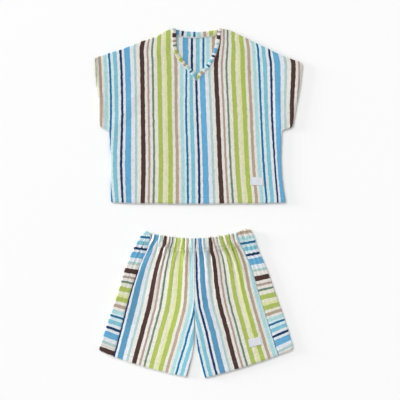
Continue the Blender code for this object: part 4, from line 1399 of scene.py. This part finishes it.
def gathered(share, below, count, shift):
    """The gathers at a share of the way across, and at a depth below the casing's lower edge.

    It gives their height, and how far the cloth that each tucks away shifts the stripes.
    """
    wide_drift = 0.3 * np.sin(2 * math.pi * (1.7 * share + shift))
    close_drift = 0.14 * np.sin(2 * math.pi * (4.6 * share + 2 * shift))
    slant = 0.011 * np.clip(below, -40, 40) * np.sin(2 * math.pi * (1.9 * share + shift))
    turns = count * share + wide_drift + close_drift + shift + slant
    uneven = 1 + 0.4 * np.sin(2 * math.pi * (2.3 * share + 3 * shift))
    reach = GATHER_FADE * (1 + 0.5 * np.sin(2 * math.pi * (5.3 * share + shift)))
    # In the casing the troughs are sharp. They soften as the gathers run out below it
    sharp = np.abs(np.cos(math.pi * turns)) ** 0.8 - 0.62
    pleat = sharp + (0.5 * np.cos(2 * math.pi * turns) - sharp) * blend(0, 30, below)
    in_casing = 1 - blend(-6, 0, below)
    held = 1 - 0.7 * np.exp(-((below / 3.2) ** 2))
    depth = np.clip(below, 0, None)
    fade = in_casing + (1 - in_casing) * 1.2 * np.exp(-depth / reach)
    let_go = blend(2, 22, below) * np.exp(-depth / FOLD_FADE)
    # A second, closer wave breaks up the gathers, and long folds run on down the leg
    lift = 2 * GATHER_HEIGHT * uneven * pleat * fade * held
    lift = lift + SECOND_HEIGHT * np.cos(2 * math.pi * (1.7 * turns + 0.2)) * fade * held
    lift = lift + FOLD_HEIGHT * uneven * np.cos(math.pi * turns + 1.1) * let_go
    return lift, GATHER_TUCK * fade * (np.round(turns) - turns)


shorts = Shorts()
print("the outside leg is", round(float(shorts.heights[0][-1])), "mm")

# %% [markdown]
# ## Fronts, backs and side strips
#
# On a leg's front the stripes keep nearly their share of the width, so they close up at the waist
# with the gathers and fan out to the hem. A table gives the place across the cloth at the side seam
# and at the inner edge, at heights from the hem to the waist, and places between are in proportion.
# On the left leg the side seam catches the edge of a navy stripe, which draws a dark line down it.
#
# The side strips are cut across the grain, and their stripes lie nearly level on the laid leg, a
# little lower towards the front's middle. Their table gives the place and the stripes' slope.

# %% Make the legs
# For the left leg and the right: y, and the place across the cloth there
LEG_GRAIN = [
    {
        "seam": (
            (-462, -62), (-399, -61), (-300, -61.5), (-261, -59.3), (-201, -56.7), (-165, -54),
            (-129, -55.5), (-105, -66), (-92, -66),
        ),
        "inner": (
            (-522, 163), (-475, 161), (-449, 158.5), (-399, 150), (-363, 140.2), (-327, 132),
            (-300, 128), (-261, 126.6), (-201, 128), (-165, 130), (-106, 129),
        ),
    },
    {
        "seam": (
            (-457, 128.6), (-399, 128), (-363, 127.8), (-291, 125.7), (-231, 124), (-201, 120),
            (-153, 115.3), (-129, 115), (-105, 119), (-89, 119),
        ),
        "inner": (
            (-526, -98.8), (-435, -99), (-399, -95.3), (-363, -88.6), (-327, -79.4), (-291, -73.3),
            (-231, -67.7), (-177, -67.5), (-106, -65),
        ),
    },
]
CAUGHT_PLACE = -63.0    # in the navy stripe
CAUGHT = 8.0            # how far from the seam the cloth is pulled
SEAM_COLUMN = 1.2       # how far from a seam the first column lies
# For each strip: y at its middle, the place across the cloth, and the drop over 1 mm to the right
STRIP_GRAIN = [
    ((-480, 485, 0.33), (-442.8, 450, 0.33), (-341.4, 354.6, 0.3), (-300, 316, 0.22),
     (-204, 225.3, 0.15), (-165, 190.7, 0.14), (-104, 131, 0.12), (-60, 89, 0.12)),
    ((-480, 471, -0.45), (-436.5, 430.6, -0.43), (-399, 396.5, -0.39), (-366, 363.4, -0.36),
     (-306, 303.6, -0.25), (-261, 260.7, -0.22), (-222, 224.7, -0.19), (-156, 167, -0.18),
     (-117, 128.3, -0.17), (-89, 101.4, -0.16), (-60, 74, -0.16)),
]


def panel_shares(width):
    """Where a panel's columns lie across each row, from the side seam to the inner edge."""
    seam_side = [SEAM_GAP / 2, SEAM_COLUMN, SEAM_DIP_WIDTH]
    inner_side = TURN_INSETS[::-1]
    columns = math.ceil((width.max() - EDGE_TURN - SEAM_DIP_WIDTH) / LEG_STEP)
    rows = []
    for row_width in width:
        middle = np.linspace(seam_side[-1], row_width - inner_side[0], columns + 1)[1:-1]
        rows.append(np.r_[seam_side, middle, row_width - inner_side] / row_width)
    return np.array(rows)


def leg_panel(leg):
    """The places of a leg panel's grid: x, y, share across, height up and depth below the casing."""
    up = shorts.rows(leg)
    share = panel_shares(shorts.width(leg, up, SEAM_X, INNER_X))
    x, y = shorts.across_panel(leg, up, share)
    below = (shorts.heights[leg][-1] - BAND_DEPTH - up)[:, None] + 0 * share
    return x, y, share, up, below


def leg_grain(leg, share, up):
    """The place across the cloth on a leg's front, at each share across and height up."""
    level = shorts.level(leg, up)
    seam, inner = (
        np.interp(level[:, height], *zip(*LEG_GRAIN[leg][edge]))[:, None]
        for edge, height in (("seam", SEAM_Y), ("inner", INNER_Y))
    )
    across = seam + share * (inner - seam)
    if leg == 0:
        # Up to the hip the side seam catches the edge of a navy stripe
        from_seam = share * shorts.width(leg, up, SEAM_X, INNER_X)[:, None]
        caught = (1 - blend(0, CAUGHT, from_seam)) * (1 - blend(-205, -190, level[:, [SEAM_Y]]))
        across -= (seam - CAUGHT_PLACE) * caught
    return across


def make_leg_front(leg, node):
    x, y, share, up, below = leg_panel(leg)
    lift, tuck = gathered(share, below, FRONT_GATHERS, 0.15 + 0.4 * leg)
    lift *= blend(0, 0.05, share) * blend(0, 0.05, 1 - share)
    ruffle = RUFFLE * lift * blend(12 - BAND_DEPTH, -BAND_DEPTH, below)
    points = np.dstack([*rounded(x, y + ruffle, SHORTS_CORNERS), shorts.front_face(x, y, lift)])
    across = leg_grain(leg, share, up) + (1, -1)[leg] * tuck
    cloth = np.dstack([across, np.repeat(up[:, None], x.shape[1], 1)])
    # Painted highlight, in the undyed colour, along the hem, the inner edge and the waist
    rim = rim_highlight(distance(x, y, shorts.hems[leg]), distance(x, y, shorts.inner[leg], shorts.waists[leg]))
    # Painted shade at seams, rows of stitches and between gathers
    pressed = shorts.pressed(x, y, lift)
    if leg == 0:
        # Above the crotch the centre seam takes in the teal stripe
        from_centre = distance(x, y, shorts.centre[0])
        rim = np.maximum(rim, 0.75 * (1 - blend(2.4, 5.0, from_centre)) * blend(-300, -285, y))
        # Half-way down, beside the side seam, painted shade darkens the leg as if it dipped away from the
        # light
        dip = blend(-170, -215, y) * blend(-390, -345, y)
        pressed = pressed + 0.5 * (1 - blend(0.1, 0.26, share)) * dip
    marks = {"plain": rim, "pressed": pressed}
    piece = cloth_piece(
        "cloth_" + node, points, shorts.wall(x, y), cloth, leg_cloths[leg], marks=marks, seed=10 + leg
    )
    declare(piece, node, points)


def make_leg_back(leg, node):
    x, y, share, up, below = leg_panel(leg)
    lift, tuck = gathered(share, below, FRONT_GATHERS, 0.4 + 0.3 * leg)
    lift *= 0.35 * blend(0, 0.05, share) * blend(0, 0.05, 1 - share) * (1 - blend(20, 60, below))
    z = EDGE_DROP * shorts.inside_leg_turn(x, y) + np.clip(lift, 0, None)
    points = np.dstack([*rounded(x, y, SHORTS_CORNERS), z])
    across = 40 - leg_grain(leg, share, up) - (1, -1)[leg] * tuck
    cloth = np.dstack([across, np.repeat(up[:, None], x.shape[1], 1)])
    piece = cloth_piece(
        "cloth_" + node, points, shorts.wall(x, y), cloth, plain_cloth, facing_up=False, seed=12 + leg
    )
    declare(piece, node, points)


def strip_place(leg, x, y):
    """The place across the cloth on a side strip, read at the level of the strip's middle."""
    heights, places, drops = np.array(STRIP_GRAIN[leg]).T
    middle = (shorts.outer[leg] + shorts.seams[leg]) / 2
    from_middle = x - np.interp(y, middle[:, 1], middle[:, 0])
    return np.interp(y + np.interp(y, heights, drops) * from_middle, heights, places)


def make_side_strip(leg, node):
    """From the front's seam to the outer edge, round it, and back underneath to the back's seam."""
    up = shorts.rows(leg)
    width = shorts.width(leg, up, OUTER_X, SEAM_X)[:, None]
    radius = shorts.front_face(*shorts.across_strip(leg, up, 8.0 / width)) / 2
    start, seam, dip = radius / width, 1 - SEAM_GAP / 2 / width, 1 - SEAM_DIP_WIDTH / width
    over = np.hstack([seam, 1 - SEAM_COLUMN / width, dip + (start - dip) * np.linspace(0, 1, 24)])
    turn = np.radians([75, 50, 25, 0, -25, -50, -75])
    under = start + (seam - start) * np.linspace(0, 1, 12)
    share = np.hstack([over, start * (1 - np.cos(turn)), under])
    x, y = shorts.across_strip(leg, up, share)
    below = (shorts.heights[leg][-1] - BAND_DEPTH - up)[:, None] + 0 * share
    lift, _ = gathered(share, below, SIDE_GATHERS, 0.3 + 0.3 * leg)
    clear = blend(start, 2.5 * start, share) * blend(0, 0.15, 1 - share)
    lift *= 0.55 * clear * np.minimum(1, width / (SIDE_GATHERS * GATHER_WIDTH))
    z = shorts.front_face(x, y, lift)
    fold = slice(over.shape[1], over.shape[1] + len(turn))
    z[:, fold.start - 1:fold.start] = 2 * radius
    z[:, fold] = radius + radius * np.sin(turn)
    z[:, fold.stop:] = 0
    points = np.dstack([*rounded(x, y, SHORTS_CORNERS), z])
    cloth = np.dstack([strip_place(leg, x, y + 0.7 * lift), x])
    # Painted highlight, in the undyed colour, along the hem and the outer fold
    rim = rim_highlight(distance(x, y, shorts.hems[leg]), distance(x, y, shorts.outer[leg])) * (0.4, 1)[leg]
    # Painted shade at seams, rows of stitches and between gathers
    marks = {"plain": rim, "pressed": shorts.pressed(x, y, lift)}
    piece = cloth_piece(
        "cloth_" + node, points, shorts.wall(x, y), cloth, plain_cloth, marks=marks, seed=14 + leg
    )
    declare(piece, node, points)


for leg, side in ((0, "left"), (1, "right")):
    make_leg_front(leg, "shorts_front_" + side)
    make_leg_back(leg, "shorts_back_" + side)
    make_side_strip(leg, "shorts_side_" + side)

# %% [markdown]
# ## Labels
#
# A bare white woven tape, 38 mm by 24 mm, is sewn on near the right-hand end of each garment's hem.
# Its ends are folded under, which makes them a little higher, a row of stitches pulls each end down,
# and the tape lies a little slack between them.

# %% Make the labels
LABEL_SIZE = (38.0, 24.0)
LABEL_WALL = 0.8
# Middle and turn in degrees
TOP_LABEL = (173.0, 65.0, -3.0)
SHORTS_LABEL = (167.5, -416.5, 15.0)


def make_label(node, place, face):
    """A label on a face, made as its node's piece. It gives the label's points."""
    middle_x, middle_y, degrees = place
    across, up = np.meshgrid(np.linspace(-0.5, 0.5, 40), np.linspace(-0.5, 0.5, 26))
    turn = math.radians(degrees)
    flat_x, flat_y = across * LABEL_SIZE[0], up * LABEL_SIZE[1]
    x = middle_x + flat_x * math.cos(turn) - flat_y * math.sin(turn)
    y = middle_y + flat_x * math.sin(turn) + flat_y * math.cos(turn)
    folded = blend(0.36, 0.42, np.abs(across))
    sewn = np.exp(-(((np.abs(across) - 0.45) / 0.02) ** 2))
    slack = 0.35 * np.cos(5 * across + 1) * np.cos(2.6 * up)
    z = face(x, y) + SEAM_GAP + LABEL_WALL + 0.7 * folded - 0.6 * sewn + slack
    points = np.dstack([x, y, z])
    piece = tape_piece("cloth_" + node, points, np.dstack([flat_x, flat_y]))
    declare(piece, node, points)
    return points


def tape_piece(name, points, cloth):
    """A flat tape, crisp at its edges, with no nap."""
    faces = grid_faces(np.ones((points.shape[0] - 1, points.shape[1] - 1), bool))
    mesh = bpy.data.meshes.new(name)
    mesh.from_pydata(((points.reshape(-1, 3) - LAYOUT_MIDDLE) * MM).tolist(), [], faces.tolist())
    uv_layer = mesh.uv_layers.new(name="cloth")
    uv_layer.data.foreach_set("uv", (cloth.reshape(-1, 2)[faces.ravel()] * MM).ravel())
    mesh.materials.append(label_tape)
    mesh.shade_smooth()
    return thickened(name, mesh, np.full(points.shape[0] * points.shape[1], LABEL_WALL))


label_points = [
    make_label("top_label", TOP_LABEL, top.front_face),
    make_label("shorts_label", SHORTS_LABEL, shorts.front_face),
]

# %% [markdown]
# ## Stitches
#
# A sewn line is one small shape repeated along a path, which is work for Geometry Nodes. The tree
# takes a path, walks it in even steps, sets a stitch at each with a small random turn, makes them
# real and gives them their thread. The rows of each kind become one mesh.

# %% Stitch tree


def stitch_tree():
    tree = bpy.data.node_groups.new("stitch_rows", "GeometryNodeTree")
    face = tree.interface
    face.new_socket("Geometry", in_out="INPUT", socket_type="NodeSocketGeometry")
    for name, kind in (
        ("Spacing", "NodeSocketFloat"), ("Stitch Length", "NodeSocketFloat"),
        ("Thickness", "NodeSocketFloat"), ("Sway", "NodeSocketFloat"), ("Seed", "NodeSocketInt"),
        ("Thread", "NodeSocketMaterial"),
    ):
        face.new_socket(name, in_out="INPUT", socket_type=kind)
    face.new_socket("Geometry", in_out="OUTPUT", socket_type="NodeSocketGeometry")
    nodes, links = tree.nodes, tree.links

    def add(kind, settings=None, **inputs):
        node = nodes.new(kind)
        for name, value in (settings or {}).items():
            setattr(node, name, value)
        for name, value in inputs.items():
            socket = node.inputs[name.replace("_", " ")]
            if isinstance(value, bpy.types.NodeSocket):
                links.new(value, socket)
            else:
                socket.default_value = value
        return node

    given = nodes.new("NodeGroupInput").outputs
    path = add("GeometryNodeMeshToCurve", Mesh=given["Geometry"])
    walk = add(
        "GeometryNodeCurveToPoints", {"mode": "LENGTH"}, Curve=path.outputs[0], Length=given["Spacing"]
    )
    stitch = add("GeometryNodeMeshUVSphere", Segments=8, Rings=5, Radius=0.5)
    size = add("ShaderNodeCombineXYZ", X=given["Stitch Length"], Y=given["Thickness"], Z=given["Thickness"])
    shaped = add("GeometryNodeTransform", Geometry=stitch.outputs[0], Scale=size.outputs[0])
    aligned = add(
        "FunctionNodeAlignRotationToVector", {"axis": "X"}, Vector=walk.outputs["Tangent"]
    )
    low = add("ShaderNodeMath", {"operation": "MULTIPLY"})
    links.new(given["Sway"], low.inputs[0])
    low.inputs[1].default_value = -1
    sway = add("FunctionNodeRandomValue", {"data_type": "FLOAT"})
    floats = [socket for socket in sway.inputs if socket.type == "VALUE" and socket.name in ("Min", "Max")]
    links.new(low.outputs[0], floats[0])
    links.new(given["Sway"], floats[1])
    links.new(given["Seed"], sway.inputs["Seed"])
    random_turn = [socket for socket in sway.outputs if socket.type == "VALUE"][0]
    yaw = add("ShaderNodeCombineXYZ", Z=random_turn)
    turned = add("FunctionNodeRotateRotation")
    links.new(aligned.outputs[0], turned.inputs[0])
    links.new(yaw.outputs[0], turned.inputs[1])
    placed = add(
        "GeometryNodeInstanceOnPoints",
        Points=walk.outputs["Points"], Instance=shaped.outputs[0], Rotation=turned.outputs[0],
    )
    real = add("GeometryNodeRealizeInstances", Geometry=placed.outputs[0])
    dressed = add("GeometryNodeSetMaterial", Geometry=real.outputs[0], Material=given["Thread"])
    links.new(dressed.outputs[0], nodes.new("NodeGroupOutput").inputs[0])
    return tree


STITCHES = stitch_tree()
print("stitch tree has", len(STITCHES.nodes), "nodes")

# %% [markdown]
# Each row is a path on the cloth: along the hems, along the outer edge of the neck binding, under
# the waist casing and down both ends of the labels. The path's points take their height from the
# cloth.

# %% Sew the rows
STITCH_LENGTH = 3.0
STITCH_SPACING = 4.0
THREAD_THICKNESS = 0.7
STITCH_SWAY = 0.12      # the most that a stitch turns, in radians
SUNK_HEM = -0.35        # how deep a row of stitches lies in the pile
SUNK_CASING = -0.3
SUNK_BINDING = -0.15


def sew(name, paths, spacing=STITCH_SPACING, length=STITCH_LENGTH, thickness=THREAD_THICKNESS, seed=1):
    """Rows of stitches along the paths, as one simple mesh."""
    places, edges = [], []
    for path in paths:
        start = len(places)
        places += ((path - LAYOUT_MIDDLE) * MM).tolist()
        edges += [(start + k, start + k + 1) for k in range(len(path) - 1)]
    mesh = bpy.data.meshes.new(name + "_paths")
    mesh.from_pydata(places, edges, [])
    rows = bpy.data.objects.new(name + "_paths", mesh)
    scene.collection.objects.link(rows)
    modifier = rows.modifiers.new("stitches", "NODES")
    modifier.node_group = STITCHES
    wanted = {
        "Spacing": spacing * MM, "Stitch Length": length * MM, "Thickness": thickness * MM,
        "Sway": STITCH_SWAY, "Seed": seed, "Thread": white_thread,
    }
    for item in STITCHES.interface.items_tree:
        if item.in_out == "INPUT" and item.name in wanted:
            modifier[item.identifier] = wanted[item.name]
    piece = settled(name, rows)
    piece.data.shade_smooth()
    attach(piece, "root")


def on_face(x, y, face, lift):
    return np.column_stack([x, y, face(x, y) + lift])


def inset_line(line, depth):
    """A line moved sideways to its right by a depth."""
    fine = through(arc_lengths(line), line, np.linspace(0, arc_lengths(line)[-1], 160))
    return fine + depth * inward_vectors(fine)


def hem_paths():
    body = inset_line(top.hem, -HEM_DEPTH)[3:-3]
    left = inset_line(top.sleeve_hems[0], SLEEVE_HEM_DEPTH)[3:-5]
    right = inset_line(top.sleeve_hems[1], -SLEEVE_HEM_DEPTH)[3:-5]
    return [on_face(*line.T, top.front_face, SUNK_HEM) for line in (body, left, right)]


def binding_paths():
    return [points[:, 1] + np.array([0, 0, SUNK_BINDING]) for points in binding_points.values()]


sew("stitches_top_hems", hem_paths(), seed=2)
sew("stitches_neck", binding_paths(), spacing=3.2, length=2.4, thickness=0.6, seed=3)


def leg_paths():
    paths = []
    for leg in (0, 1):
        share = np.linspace(0.02, 0.98, 90)
        casing_up = shorts.heights[leg][-1] - BAND_DEPTH * 1.02
        for up, lift in ((HEM_DEPTH * 1.02, SUNK_HEM), (casing_up, SUNK_CASING)):
            for across in (shorts.across_panel, shorts.across_strip):
                x, y = across(leg, np.array([up]), share[None, :])
                paths.append(on_face(x[0], y[0], shorts.front_face, lift))
    return paths


sew("stitches_shorts", leg_paths(), seed=4)
label_ends = [points[1:-1, column] for points in label_points for column in (2, -3)]
sew("stitches_labels", label_ends, spacing=2.6, length=2.0, thickness=0.5, seed=5)
